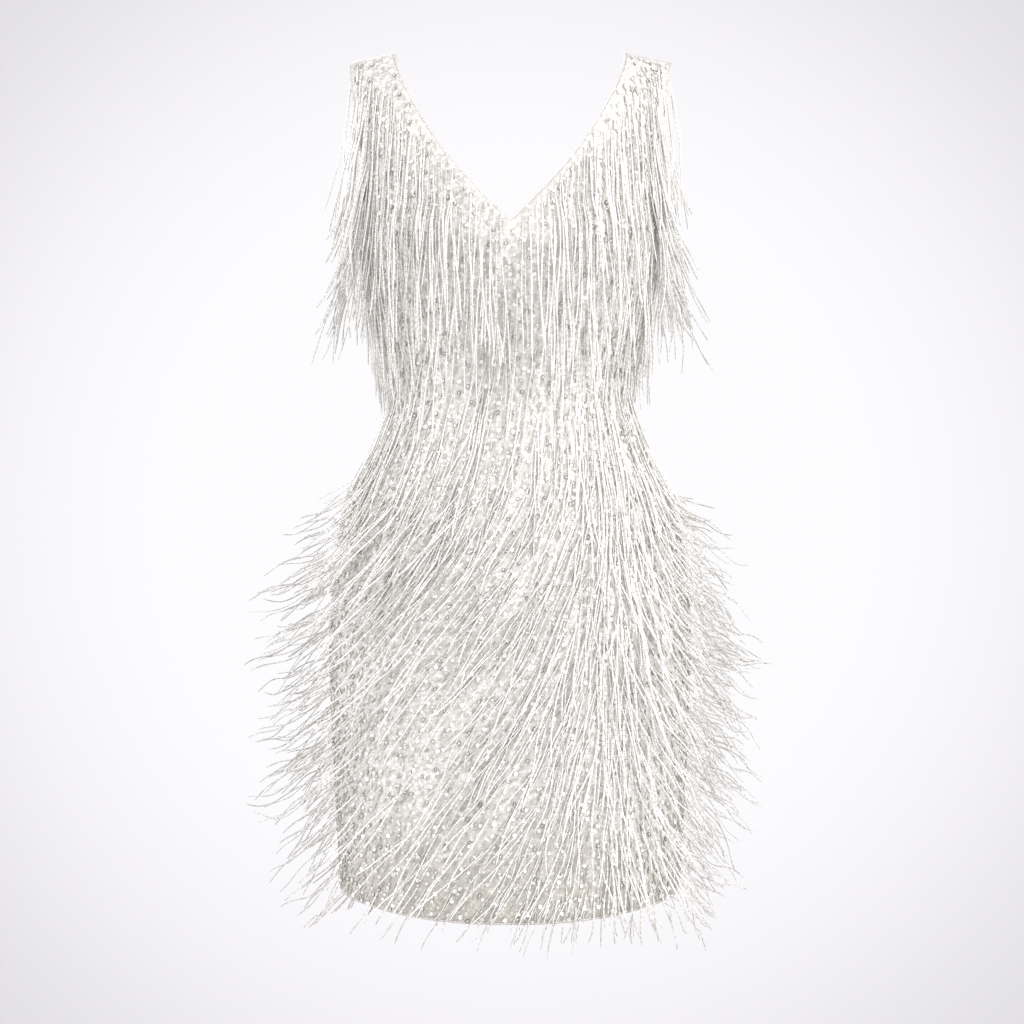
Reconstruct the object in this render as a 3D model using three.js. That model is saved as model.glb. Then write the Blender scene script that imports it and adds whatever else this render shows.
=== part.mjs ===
// A sleeveless V-neck flapper dress in beaded tulle, in the hollow form that it takes when worn.
// Millimetres, +Z up, front towards -Y. The wearer's left is +X. The origin lies midway between
// the two shoulders, at the height where the straps rest on them.
//
// Every piece is laid out on one surface, the inside of the cloth. A place on it has two
// coordinates: turn, the angle round the body, from 0 at the left side seam over the front to PI
// at the right one, and negative over the back; and down, the distance from the shoulder line
// along the cloth.
import * as THREE from "three";

// Cloth and seams.
const CLOTH = 2; // beaded tulle and its satin ground, worked as one wall
const SEAM = 0.3; // between pieces that are sewn together
const BINDING = 3; // the rolled edge at neck, armholes and hem, square in section

// Heights.
const UNDERARM = -157;
const BUST = -180;
const HEM = -829; // at the side seams
const HEM_DIP = 21; // how much lower it hangs at centre front and centre back
const DIP_FROM = -600;

// The form: half the width, and the depth from the side seams to the front and to the back.
const FORM = [
  { z: 0, half: 177, front: 38, back: 38 }, // shoulder line
  { z: -45, half: 170, front: 66, back: 62 }, // where the shoulder's roll ends
  { z: -100, half: 160, front: 92, back: 84 },
  { z: UNDERARM, half: 150, front: 112, back: 96 },
  { z: -190, half: 149, front: 116, back: 98 }, // bust
  { z: -250, half: 140, front: 100, back: 92 },
  { z: -327, half: 118, front: 93, back: 85 }, // waist
  { z: -380, half: 132, front: 99, back: 97 },
  { z: -442, half: 159, front: 105, back: 112 },
  { z: -512, half: 173, front: 108, back: 122 },
  { z: -580, half: 177, front: 108, back: 124 }, // hip
  { z: -700, half: 173, front: 105, back: 115 },
  { z: HEM, half: 166, front: 101, back: 103 },
];
const SQUARENESS = 2 / 2.3; // the sections are a little fuller than ellipses
const ROLL = 45; // radius of the shoulder's roll
const SHOULDER_SLOPE = 0.22;
const SLOPE_FADES = 120; // how far down the shoulders' slope is lost
const STRAP_MIDDLE = 138; // from the centre
const CUP = { out: 84, depth: 9, wide: 42, high: 50 }; // the bust darts' fullness, on each side

// Neckline and armholes.
const NECK_HALF = 116; // at the shoulder
const NECK_CURVE = 1.55; // 1 would be a straight-sided V
const V_FRONT = -174;
const V_BACK = -225;
const ARMHOLE_TURN = THREE.MathUtils.degToRad(28); // from the side seam to its front and back
const ARMHOLE_WIDEST = -90;

// Fringe: strands of beads are sewn on in rows all over the cloth. Each tier is the room that
// its strands fill.
const TIER_GAP = 1.5;
const STAND_OFF = CLOTH + 1; // of the strands at their roots
const HEM_FRINGE = 32; // how far the strands hang below the hem
const REACH = [
  // how far the tips stand off the inside of the cloth, at the centre and at the side seams
  { z: 0, centre: 6, side: 6 },
  { z: UNDERARM, centre: 9, side: 8 },
  { z: -250, centre: 13, side: 9 },
  { z: -330, centre: 15, side: 10 },
  { z: -380, centre: 14, side: 18 },
  { z: -430, centre: 13, side: 50 },
  { z: -500, centre: 13, side: 68 },
  { z: -600, centre: 13, side: 76 },
  { z: -710, centre: 14, side: 86 },
  { z: -770, centre: 15, side: 84 },
  { z: -820, centre: 15, side: 72 },
  { z: HEM - HEM_FRINGE, centre: 12, side: 44 },
];
const SIDE_SPREAD = 4; // power of the cosine that confines the outward sweep to the sides
const YOKE_ROW = { front: -215, back: -250 }; // where the yoke's fringe ends
const TIERS = [
  // the last row of each tier, from the yoke down
  { name: "yoke", to: YOKE_ROW },
  { name: "bust", to: evenly(-327) },
  { name: "waist", to: evenly(-430) },
  { name: "high_hip", to: evenly(-535) },
  { name: "hip", to: evenly(-640) },
  { name: "thigh", to: evenly(-745) },
  { name: "hem", to: evenly(HEM - HEM_FRINGE) },
];

function evenly(z) {
  return { front: z, back: z };
}

// The shoulder fringe hangs from the strap's outer edge past the armhole, as a cap over the
// upper arm.
const CAP = {
  from: -115, // the height round the armhole down to which its strands are sewn
  bottom: -320, // its tips, over the middle of the arm
  rise: 30, // how much higher they end at its front and back edges
  out: 184, // from the centre to its tips
  turn: 42, // how much nearer its front and back edges come
  round: 80, // half its width, from front to back
  clear: 6, // off the strap at the top
  bulge: 8, // over the arm
  top: 6, // its thickness at the strap
  hem: 15, // its thickness at the tips
};

// How finely the pieces are divided.
const HALF_COLUMNS = 8; // from a side seam or an armhole to the centre
const ROLL_ROWS = 4;
const ARMHOLE_ROWS = 4;
const BUST_ROW = -192;
const LOWER_ROWS = [-250, -288, -327, -375, -430, -480, -535, -588, -640, -692, -745, -795];
const CAP_ROWS = 7;

// Shades.
const GROUND = finish(0xd8d4cf, 0.55);
const EDGE = finish(0xe6e2dd, 0.45);
const BEADS = finish(0xf2efea, 0.2);

function finish(color, roughness) {
  return new THREE.MeshStandardMaterial({ color, roughness, metalness: 0 });
}

// A smooth curve through one column of a table whose rows run down from the shoulder.
function curveThrough(table, key) {
  const slope = (i) => {
    const a = table[Math.max(i - 1, 0)];
    const b = table[Math.min(i + 1, table.length - 1)];
    return (b[key] - a[key]) / (b.z - a.z);
  };
  return (z) => {
    const found = table.findIndex((row) => row.z <= z);
    const i = Math.max(1, found < 0 ? table.length - 1 : found);
    const a = table[i - 1];
    const b = table[i];
    const step = b.z - a.z;
    const t = THREE.MathUtils.clamp((z - a.z) / step, 0, 1);
    return (
      a[key] * (1 + 2 * t) * (1 - t) ** 2 +
      b[key] * t * t * (3 - 2 * t) +
      step * (slope(i - 1) * t * (1 - t) ** 2 - slope(i) * t * t * (1 - t))
    );
  };
}
const halfAt = curveThrough(FORM, "half");
const frontAt = curveThrough(FORM, "front");
const backAt = curveThrough(FORM, "back");
const reachAtCentre = curveThrough(REACH, "centre");
const reachAtSide = curveThrough(REACH, "side");

const ROLL_LENGTH = (ROLL * Math.PI) / 2;
const heightOf = (down) =>
  down < ROLL_LENGTH ? -ROLL * (1 - Math.cos(down / ROLL)) : ROLL_LENGTH - ROLL - down;
const downTo = (z) => (z > -ROLL ? ROLL * Math.acos(1 + z / ROLL) : ROLL_LENGTH - ROLL - z);
const fuller = (value) => Math.sign(value) * Math.abs(value) ** SQUARENESS;
const bell = (distance, width) => Math.exp(-((distance / width) ** 2));

// A point on the inside of the cloth.
function form(turn, down) {
  const z = heightOf(down);
  const rolled = down < ROLL_LENGTH ? Math.sin(down / ROLL) : 1;
  const x = halfAt(z) * fuller(Math.cos(turn));
  const across = Math.abs(Math.sin(turn));
  const cup = CUP.depth * bell(Math.abs(x) - CUP.out, CUP.wide) * bell(z - BUST, CUP.high) * across;
  const depth = turn < 0 ? backAt(z) * fuller(across) : frontAt(z) * fuller(across) + cup;
  const faded = 1 - THREE.MathUtils.smoothstep(-z, 0, SLOPE_FADES);
  const slope = SHOULDER_SLOPE * (STRAP_MIDDLE - Math.abs(x)) * faded;
  const dip = HEM_DIP * across ** 2 * THREE.MathUtils.smoothstep(-z, -DIP_FROM, -HEM);
  return new THREE.Vector3(x, (turn < 0 ? 1 : -1) * (depth * rolled + SEAM / 2), z + slope - dip);
}

// The outward direction there. Over a side seam or the shoulder line the surface goes on into
// the other panel.
function outward(turn, down) {
  const step = 0.02; // radians
  const wrapped = (angle) => THREE.MathUtils.euclideanModulo(angle + Math.PI, 2 * Math.PI) - Math.PI;
  const round = form(wrapped(turn + step), down).sub(form(wrapped(turn - step), down));
  const above = down < 1 ? form(-turn, 1) : form(turn, down - 1);
  const along = form(turn, down + 1).sub(above);
  const normal = round.cross(along).normalize();
  if (turn === 0 || Math.abs(turn) === Math.PI) normal.setY(0).normalize();
  return down === 0 ? normal.setY(0).normalize() : normal;
}

// A point of a panel, so far out from its inside.
const onPanel = (turn, down, out) => form(turn, down).addScaledVector(outward(turn, down), out);

// A point of a fringe tier: out is 0 where its strands are sewn on and 1 at their tips.
function onFringe(turn, down, out) {
  const z = heightOf(down);
  const sideways = Math.abs(Math.cos(turn)) ** SIDE_SPREAD;
  const reach = THREE.MathUtils.lerp(reachAtCentre(z), reachAtSide(z), sideways);
  return onPanel(turn, down, out ? reach : STAND_OFF);
}

// The angles where the cloth starts and ends at a height: the armhole's edge and the neckline.
function armholeTurn(z) {
  if (z >= ARMHOLE_WIDEST) return ARMHOLE_TURN;
  const part = THREE.MathUtils.clamp((ARMHOLE_WIDEST - z) / (ARMHOLE_WIDEST - UNDERARM), 0, 1);
  return ARMHOLE_TURN * Math.sqrt(1 - part ** 2);
}

function neckTurn(z, point) {
  const part = THREE.MathUtils.clamp((z - point) / -point, 0, 1);
  const half = NECK_HALF * (1 - (1 - part) ** NECK_CURVE);
  return Math.acos((half / halfAt(z)) ** (1 / SQUARENESS));
}

// The heights of a panel's rows, from the shoulder down. They crowd together at the armhole's
// round foot.
function panelRows(cut) {
  const roll = Array.from({ length: ROLL_ROWS + 1 }, (_, i) => heightOf((ROLL_LENGTH * i) / ROLL_ROWS));
  const armhole = Array.from({ length: ARMHOLE_ROWS + 1 }, (_, i) => {
    const angle = ((ARMHOLE_ROWS - i) / ARMHOLE_ROWS) * (Math.PI / 2);
    return UNDERARM + (ARMHOLE_WIDEST - UNDERARM) * (1 - Math.cos(angle));
  });
  const body = [V_FRONT, BUST_ROW, YOKE_ROW.front, V_BACK, ...LOWER_ROWS, HEM, HEM - HEM_FRINGE];
  return [...roll, ...armhole, ...body].filter((z) => z !== cut.skips);
}

const CUTS = {
  front: { facing: 1, point: V_FRONT, skips: V_BACK },
  back: { facing: -1, point: V_BACK, skips: YOKE_ROW.front },
};
for (const cut of Object.values(CUTS)) cut.rows = panelRows(cut);

// The part of a panel between two heights, as places and the triangles that join them. Above the
// neckline's point it is two halves, and below it they share their centre line.
function patchOf(cut, top, bottom, gap = 0) {
  const places = [];
  const triangles = [];
  const place = (turn, down) => places.push([turn * cut.facing, down]) - 1;
  const rows = cut.rows.filter((z) => z <= top && z >= bottom);
  const halves = rows.map((z, r) => {
    const down = downTo(z) + (r === 0 ? gap : 0);
    const arm = armholeTurn(z);
    const neck = z > cut.point ? neckTurn(z, cut.point) : Math.PI / 2;
    const turnAt = (i) => THREE.MathUtils.lerp(arm, neck, i / HALF_COLUMNS);
    const left = Array.from({ length: HALF_COLUMNS + 1 }, (_, i) => place(turnAt(i), down));
    const right = left.map((shared, i) =>
      i === HALF_COLUMNS && z <= cut.point ? shared : place(Math.PI - turnAt(i), down),
    );
    return [left, right];
  });
  halves.slice(1).forEach((lower, r) =>
    lower.forEach((under, side) => {
      const over = halves[r][side];
      for (let i = 0; i < HALF_COLUMNS; i++) {
        const corners = [over[i], under[i], under[i + 1], over[i + 1]];
        if ((side === 0) === (cut.facing > 0)) corners.reverse();
        const [a, b, c, d] = corners;
        triangles.push([a, b, c], [a, c, d]);
      }
    }),
  );
  return { places, triangles };
}

// A closed solid over a patch. Its layers go from the wearer's side outwards, and its rim joins
// them all round.
function wallOver(patch, layers, pointAt) {
  const points = layers.flatMap((layer) => patch.places.map(([a, b]) => pointAt(a, b, layer)));
  const count = patch.places.length;
  const outer = count * (layers.length - 1);
  const index = [];
  const open = new Map();
  for (const [a, b, c] of patch.triangles) {
    index.push(a + outer, b + outer, c + outer, a, c, b);
    for (const [from, to] of [[a, b], [b, c], [c, a]]) {
      if (!open.delete(to + ">" + from)) open.set(from + ">" + to, [from, to]);
    }
  }
  for (const [from, to] of open.values()) {
    for (let under = 0; under < outer; under += count) {
      const over = under + count;
      index.push(to + over, from + over, from + under, to + over, from + under, to + under);
    }
  }
  return solidOf(points, index);
}

// A closed loop of four-cornered sections, such as a binding.
function loopOf(sections) {
  const index = [];
  sections.forEach((section, i) => {
    const next = (i + 1) % sections.length;
    section.forEach((_, k) => {
      const beside = (k + 1) % section.length;
      const [a, b, c, d] = [i * 4 + k, next * 4 + k, next * 4 + beside, i * 4 + beside];
      index.push(a, b, c, a, c, d);
    });
  });
  return solidOf(sections.flat(), index);
}

function solidOf(points, index) {
  const geometry = new THREE.BufferGeometry().setFromPoints(points);
  geometry.setIndex(index);
  geometry.computeVertexNormals();
  return geometry;
}

function piece(name, geometry, material) {
  const mesh = new THREE.Mesh(geometry, material);
  mesh.name = name;
  return mesh;
}

// The binding that runs along an edge of the panels, a seam's width beyond it. The edge is
// followed with the cloth on its left, seen from outside.
function bindingAlong(places) {
  const edge = places.map(([turn, down]) => ({
    at: onPanel(turn, down, CLOTH / 2),
    out: outward(turn, down),
  }));
  const sections = edge.map(({ at, out }, i) => {
    const before = edge[(i + edge.length - 1) % edge.length].at;
    const after = edge[(i + 1) % edge.length].at;
    const along = after.clone().sub(before).normalize();
    const away = along.clone().cross(out).normalize();
    const corner = (beyond, side) =>
      at.clone().addScaledVector(away, beyond).addScaledVector(out, side);
    const [near, far, half] = [SEAM, SEAM + BINDING, BINDING / 2];
    return [corner(near, -half), corner(far, -half), corner(far, half), corner(near, half)];
  });
  return loopOf(sections);
}

// The same height on the other side of the dress.
const mirrored = ([turn, down]) => [(turn < 0 ? -1 : 1) * (Math.PI - Math.abs(turn)), down];

// The neckline from the front's point over one shoulder to the back's, and back over the other.
function neckEdge() {
  const side = (cut) =>
    cut.rows.filter((z) => z >= cut.point).map((z) => [neckTurn(z, cut.point), downTo(z)]);
  const up = side(CUTS.front).reverse();
  const down = side(CUTS.back).slice(1).map(([turn, depth]) => [-turn, depth]);
  const leftSide = [...up, ...down];
  const rightSide = leftSide.slice(1, -1).map(mirrored).reverse();
  return [...leftSide, ...rightSide].reverse();
}

// An armhole from the underarm up the front and down the back, on the wearer's left or right.
function armholeEdge(leftSide) {
  const up = CUTS.front.rows.filter((z) => z >= UNDERARM).reverse();
  const front = up.map((z) => [armholeTurn(z), downTo(z)]);
  const back = front.slice(1, -1).reverse().map(([turn, down]) => [-turn, down]);
  const loop = [...front, ...back];
  return leftSide ? loop : loop.map(mirrored).reverse();
}

// The hem's binding is one ring below both panels.
function hemBinding() {
  const count = 4 * HALF_COLUMNS;
  const sections = Array.from({ length: count }, (_, i) => {
    const turn = (i / count) * 2 * Math.PI;
    const angle = turn > Math.PI ? turn - 2 * Math.PI : turn;
    const at = onPanel(angle, downTo(HEM), CLOTH / 2);
    const out = outward(angle, downTo(HEM)).setZ(0).normalize();
    const corner = (below, side) => at.clone().addScaledVector(out, side).setZ(at.z - below);
    const [near, far, half] = [2 * SEAM, 2 * SEAM + BINDING, BINDING / 2];
    return [corner(near, -half), corner(near, half), corner(far, half), corner(far, -half)];
  });
  return loopOf(sections);
}

// A shoulder's cap of fringe. across runs from -1 at the front to 1 at the back, and hang from 0
// at the strap to 1 at the tips.
function onCap(sign, across, hang, out) {
  const down = downTo(CAP.from) * Math.abs(across);
  const turn = (across > 0 ? -1 : 1) * armholeTurn(heightOf(down));
  const root = onPanel(turn, down, CLOTH);
  const foot = new THREE.Vector3(
    CAP.out - CAP.turn * across ** 2,
    CAP.round * across,
    CAP.bottom + CAP.rise * across ** 2,
  );
  const at = new THREE.Vector3(root.x + CAP.clear, root.y, root.z).lerp(foot, hang);
  const way = new THREE.Vector3(1, across, 0).normalize();
  const thick = THREE.MathUtils.lerp(CAP.top, CAP.hem, hang);
  at.x += CAP.bulge * Math.sin(Math.PI * hang);
  at.addScaledVector(way, out * thick);
  return at.setX(at.x * sign);
}

function shoulderCap(sign) {
  const columns = 2 * CAP_ROWS;
  const places = [];
  const triangles = [];
  for (let j = 0; j <= CAP_ROWS; j++) {
    for (let i = 0; i <= columns; i++) places.push([(2 * i) / columns - 1, j / CAP_ROWS]);
  }
  for (let j = 0; j < CAP_ROWS; j++) {
    for (let i = 0; i < columns; i++) {
      const a = j * (columns + 1) + i;
      const corners = [a, a + columns + 1, a + columns + 2, a + 1];
      if (sign < 0) corners.reverse();
      triangles.push([corners[0], corners[1], corners[2]], [corners[0], corners[2], corners[3]]);
    }
  }
  const onSide = (across, hang, out) => onCap(sign, across, hang, out);
  return wallOver({ places, triangles }, [0, 1], onSide);
}

const dress = new THREE.Group();
for (const [side, cut] of Object.entries(CUTS)) {
  dress.add(piece(`${side}_panel`, wallOver(patchOf(cut, 0, HEM), [0, CLOTH], onPanel), GROUND));
  let top = 0;
  for (const tier of TIERS) {
    const bottom = tier.to[side];
    const patch = patchOf(cut, top, bottom, top < 0 ? TIER_GAP : 0);
    dress.add(piece(`${tier.name}_fringe_${side}`, wallOver(patch, [0, 1], onFringe), BEADS));
    top = bottom;
  }
}
dress.add(piece("neck_binding", bindingAlong(neckEdge()), EDGE));
for (const [side, sign] of [["left", 1], ["right", -1]]) {
  dress.add(piece(`armhole_binding_${side}`, bindingAlong(armholeEdge(sign > 0)), EDGE));
  dress.add(piece(`shoulder_fringe_${side}`, shoulderCap(sign), BEADS));
}
dress.add(piece("hem_binding", hemBinding(), EDGE));

export default dress;
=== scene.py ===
"""A sleeveless V-neck flapper dress, hung all over with strands of bugle beads, as it is worn.

Metres, +Z up, front towards -Y. The cloth, the bindings and the beads are laid out on one form,
the inside of the cloth, whose places are (turn, down). Turn is the angle round the body, from 0
at the wearer's left side seam over the front to pi at the right one, and negative over the back.
Down is the distance from the shoulder line along the cloth.
"""

import logging
import math
from dataclasses import dataclass
from enum import Enum
from typing import Sequence

import bpy
import numpy as np
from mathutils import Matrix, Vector


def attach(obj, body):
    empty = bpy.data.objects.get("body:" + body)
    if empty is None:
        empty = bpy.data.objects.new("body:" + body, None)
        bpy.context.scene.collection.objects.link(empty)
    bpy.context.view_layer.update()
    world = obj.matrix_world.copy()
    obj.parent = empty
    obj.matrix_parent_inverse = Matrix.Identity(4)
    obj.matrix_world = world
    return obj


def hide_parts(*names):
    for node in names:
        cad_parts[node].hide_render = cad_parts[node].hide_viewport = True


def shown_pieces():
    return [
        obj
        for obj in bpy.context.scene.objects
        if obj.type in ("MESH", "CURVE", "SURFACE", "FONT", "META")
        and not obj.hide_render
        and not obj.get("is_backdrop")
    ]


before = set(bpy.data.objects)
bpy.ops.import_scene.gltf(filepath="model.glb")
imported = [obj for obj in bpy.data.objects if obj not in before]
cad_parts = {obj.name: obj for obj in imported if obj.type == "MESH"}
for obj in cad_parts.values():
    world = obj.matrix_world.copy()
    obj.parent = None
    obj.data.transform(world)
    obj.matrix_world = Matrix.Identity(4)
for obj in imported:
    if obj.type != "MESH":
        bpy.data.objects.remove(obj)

logging.basicConfig(level=logging.INFO, format="%(message)s")
LOG = logging.getLogger("flapper_dress")

MM = 0.001
BODY = "root"
FORM_HEM = -0.829  # the hem's height at the side seams
RIGHT_ANGLE = math.pi / 2

Array = np.ndarray
Colour = tuple[float, float, float, float]
Point = tuple[float, float, float]
Stops = tuple[tuple[float, str], ...]  # a place from 0 to 1 and a hex colour each
Faces = list[tuple[int, ...]]
Pattern = tuple[Array, Faces, Array]  # points, faces and each face's tone


class Side(Enum):
    """The half of the dress that a piece is on; the value is the sign of turn there."""

    FRONT = 1
    BACK = -1


# ---------------------------------------------------------------- small helpers


def linear(hex_colour: str) -> Colour:
    """Turn an sRGB hex colour into linear light.

    Args:
        hex_colour: Six hex digits, such as "F4F1EC".

    Returns:
        Red, green, blue and an alpha of 1.
    """
    parts = [int(hex_colour[i : i + 2], 16) / 255 for i in (0, 2, 4)]
    light = [c / 12.92 if c <= 0.04045 else ((c + 0.055) / 1.055) ** 2.4 for c in parts]
    return (light[0], light[1], light[2], 1.0)


def add_node(
    tree: bpy.types.NodeTree, kind: str, settings: dict | None = None, links: dict | None = None
) -> bpy.types.Node:
    """Add a shader node with its settings and what feeds it.

    Args:
        tree: The node tree that it joins.
        kind: The node's type, such as "ShaderNodeMath".
        settings: Properties by name, and input values by socket name or number.
        links: Output sockets by the name or number of the input that each feeds.

    Returns:
        The new node.
    """
    node = tree.nodes.new(kind)
    for name, value in (settings or {}).items():
        if isinstance(name, str) and hasattr(node, name):
            setattr(node, name, value)
        else:
            node.inputs[name].default_value = value
    for name, source in (links or {}).items():
        tree.links.new(source, node.inputs[name])
    return node


def ramp(node: bpy.types.Node, stops: Sequence[tuple[float, str]]) -> bpy.types.Node:
    """Set a colour ramp's stops.

    Args:
        node: The colour ramp.
        stops: A place from 0 to 1 and a hex colour for each.

    Returns:
        The same node.
    """
    elements = node.color_ramp.elements
    while len(elements) < len(stops):
        elements.new(0.5)
    for element, (place, colour) in zip(elements, stops):
        element.position = place
        element.color = linear(colour)
    return node


def new_material(name: str) -> tuple[bpy.types.Material, bpy.types.NodeTree, bpy.types.Node]:
    """Make a node material with only a Principled shader in it.

    Args:
        name: The material's name.

    Returns:
        The material, its node tree and the shader.
    """
    material = bpy.data.materials.new(name)
    material.use_nodes = True
    tree = material.node_tree
    tree.nodes.clear()
    shader = add_node(tree, "ShaderNodeBsdfPrincipled")
    add_node(tree, "ShaderNodeOutputMaterial", links={"Surface": shader.outputs["BSDF"]})
    return material, tree, shader


def smoothstep(value: Array, low: float, high: float) -> Array:
    """Rise smoothly from 0 to 1.

    Args:
        value: Where to read the rise.
        low: Where it starts.
        high: Where it is complete.

    Returns:
        The height of the rise, from 0 to 1.
    """
    t = np.clip((value - low) / (high - low), 0, 1)
    return t * t * (3 - 2 * t)


def unit(vectors: Array) -> Array:
    """Scale each row of vectors to length 1."""
    return vectors / np.maximum(np.linalg.norm(vectors, axis=-1, keepdims=True), 1e-9)


def mesh_object(
    name: str, points: Array, faces: Array | Faces, material: bpy.types.Material, smooth: bool
) -> bpy.types.Object:
    """Make an object from points and faces.

    Args:
        name: The piece's name.
        points: Its points, (n, 3).
        faces: Point numbers of each face, all of one length or of mixed lengths.
        material: Its finish.
        smooth: Whether its faces are shaded smooth.

    Returns:
        The object, linked to the scene and riding on the dress's body.
    """
    data = bpy.data.meshes.new(name)
    corners = faces.tolist() if isinstance(faces, np.ndarray) else faces
    data.from_pydata(points.tolist(), [], corners)
    data.polygons.foreach_set("use_smooth", [smooth] * len(data.polygons))
    data.materials.append(material)
    data.update()
    piece = bpy.data.objects.new(name, data)
    bpy.context.scene.collection.objects.link(piece)
    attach(piece, BODY)
    return piece


def store(piece: bpy.types.Object, name: str, domain: str, values: Array) -> None:
    """Store one number for each point or face of a piece, for its material to read.

    Args:
        piece: The piece.
        name: The name that the material reads it by.
        domain: "POINT" or "FACE".
        values: The numbers.
    """
    layer = piece.data.attributes.new(name, "FLOAT", domain)
    layer.data.foreach_set("value", np.ascontiguousarray(values, dtype=np.float32).ravel())


def store_atlas(piece: bpy.types.Object, places: Array) -> None:
    """Give a piece the flat layout on which its finish is laid.

    Args:
        piece: The piece.
        places: Where each face corner lies, from 0 to 1, (n, 2).
    """
    layer = piece.data.uv_layers.new(name="OFBake")
    layer.data.foreach_set("uv", np.ascontiguousarray(places, dtype=np.float32).ravel())


# ---------------------------------------------------------------- finishes


@dataclass(frozen=True)
class BeadedTulle:
    """Tulle over matt satin, sewn solid with seed beads.

    The eye sees grains, each bead with a shade of its own and the satin darker between them.
    Towards the hem the colour is multiplied darker: painted shade, for the light falls from above.
    """

    satin: str = "D3D0CB"
    hem_shade: str = "E4E2DC"  # the painted shade that is multiplied in near the hem
    hem_shade_from: float = FORM_HEM + 0.130
    hem_shade_to: float = FORM_HEM - 0.020
    bead_mm: float = 2.8  # real seed beads are 1.8 mm; drawn as coarse as they need to show
    bead_height_mm: float = 0.6
    tones: Stops = ((0.15, "D0CDC8"), (0.45, "DEDBD7"), (0.7, "E7E5E1"), (0.92, "F5F4F1"))

    def build(self) -> bpy.types.Material:
        """Build the material.

        Returns:
            The material.
        """
        material, tree, shader = new_material("seed_beaded_tulle_over_satin")
        place = add_node(tree, "ShaderNodeTexCoord")
        beads = add_node(
            tree,
            "ShaderNodeTexVoronoi",
            {"feature": "F1", "Scale": 1 / (self.bead_mm * MM), "Randomness": 0.8},
            {"Vector": place.outputs["Object"]},
        )
        chance = add_node(tree, "ShaderNodeSeparateColor", links={"Color": beads.outputs["Color"]})
        shades = add_node(tree, "ShaderNodeValToRGB", links={"Fac": chance.outputs[0]})
        shade = ramp(shades, self.tones)
        between = add_node(
            tree,
            "ShaderNodeMapRange",
            {"interpolation_type": "SMOOTHSTEP", 1: 0.42, 2: 0.72},
            {0: beads.outputs["Distance"]},
        )
        mixed = add_node(
            tree,
            "ShaderNodeMix",
            {"data_type": "RGBA", 7: linear(self.satin)},
            {0: between.outputs[0], 6: shade.outputs["Color"]},
        )
        bump = add_node(
            tree,
            "ShaderNodeBump",
            {"Strength": 0.4, "Distance": self.bead_height_mm * MM, "invert": True},
            {"Height": beads.outputs["Distance"]},
        )
        height = add_node(tree, "ShaderNodeSeparateXYZ", links={0: place.outputs["Object"]})
        # Painted shade: the colour is multiplied darker towards the hem.
        hem_shaded = add_node(
            tree,
            "ShaderNodeMapRange",
            {"interpolation_type": "SMOOTHSTEP", 1: self.hem_shade_from, 2: self.hem_shade_to},
            {0: height.outputs["Z"]},
        )
        toned = add_node(
            tree,
            "ShaderNodeMix",
            {"data_type": "RGBA", "blend_type": "MULTIPLY", 7: linear(self.hem_shade)},
            {0: hem_shaded.outputs[0], 6: mixed.outputs[2]},
        )
        shader.inputs["Roughness"].default_value = 0.4
        shader.inputs["Sheen Weight"].default_value = 0.1
        tree.links.new(toned.outputs[2], shader.inputs["Base Color"])
        tree.links.new(bump.outputs["Normal"], shader.inputs["Normal"])
        return material


@dataclass(frozen=True)
class SatinBacking:
    """The matt satin's inner face: woven, plain and soft, with a faint and slightly uneven grain."""

    ivory: str = "E0DDD8"
    shaded: str = "D8D5CF"
    weave_mm: float = 1.5  # the real weave is 0.3 mm; drawn as coarse as it needs to show

    def build(self) -> bpy.types.Material:
        """Build the material.

        Returns:
            The material.
        """
        material, tree, shader = new_material("matt_woven_satin_inner_face")
        place = add_node(tree, "ShaderNodeTexCoord")
        weave = add_node(
            tree,
            "ShaderNodeTexNoise",
            {"Scale": 1 / (self.weave_mm * MM), "Detail": 2.0, "Roughness": 0.6},
            {"Vector": place.outputs["Object"]},
        )
        tint = ramp(
            add_node(tree, "ShaderNodeValToRGB", links={"Fac": weave.outputs["Fac"]}),
            [(0.35, self.shaded), (0.65, self.ivory)],
        )
        bump = add_node(
            tree,
            "ShaderNodeBump",
            {"Strength": 0.15, "Distance": 0.2 * MM},
            {"Height": weave.outputs["Fac"]},
        )
        shader.inputs["Roughness"].default_value = 0.5
        shader.inputs["Sheen Weight"].default_value = 0.15
        tree.links.new(tint.outputs["Color"], shader.inputs["Base Color"])
        tree.links.new(bump.outputs["Normal"], shader.inputs["Normal"])
        return material


@dataclass(frozen=True)
class RolledSatin:
    """Satin cut on the bias and rolled over the edge by hand: its slanting turns catch the light,
    and the grooves between them are painted darker, as shade.
    """

    face: str = "E2DFDB"
    # painted shade in the grooves between the turns
    groove: str = "C9C5C0"
    turn_mm: float = 1.6  # from one turn of the roll to the next
    bands: float = 0.3  # the wave pattern's scale for turns one unit apart

    def build(self) -> bpy.types.Material:
        """Build the material.

        Returns:
            The material.
        """
        material, tree, shader = new_material("rolled_bias_satin")
        place = add_node(tree, "ShaderNodeTexCoord")
        scale = self.bands / (self.turn_mm * MM)
        wave = add_node(
            tree,
            "ShaderNodeTexWave",
            {"bands_direction": "DIAGONAL", "Scale": scale, "Distortion": 1.2, "Detail": 1.0},
            {"Vector": place.outputs["Object"]},
        )
        tint = ramp(
            add_node(tree, "ShaderNodeValToRGB", links={"Fac": wave.outputs["Fac"]}),
            [(0.2, self.groove), (0.7, self.face)],
        )
        bump = add_node(
            tree,
            "ShaderNodeBump",
            {"Strength": 0.3, "Distance": 0.3 * MM},
            {"Height": wave.outputs["Fac"]},
        )
        shader.inputs["Roughness"].default_value = 0.38
        shader.inputs["Sheen Weight"].default_value = 0.1
        tree.links.new(tint.outputs["Color"], shader.inputs["Base Color"])
        tree.links.new(bump.outputs["Normal"], shader.inputs["Normal"])
        return material


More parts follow.
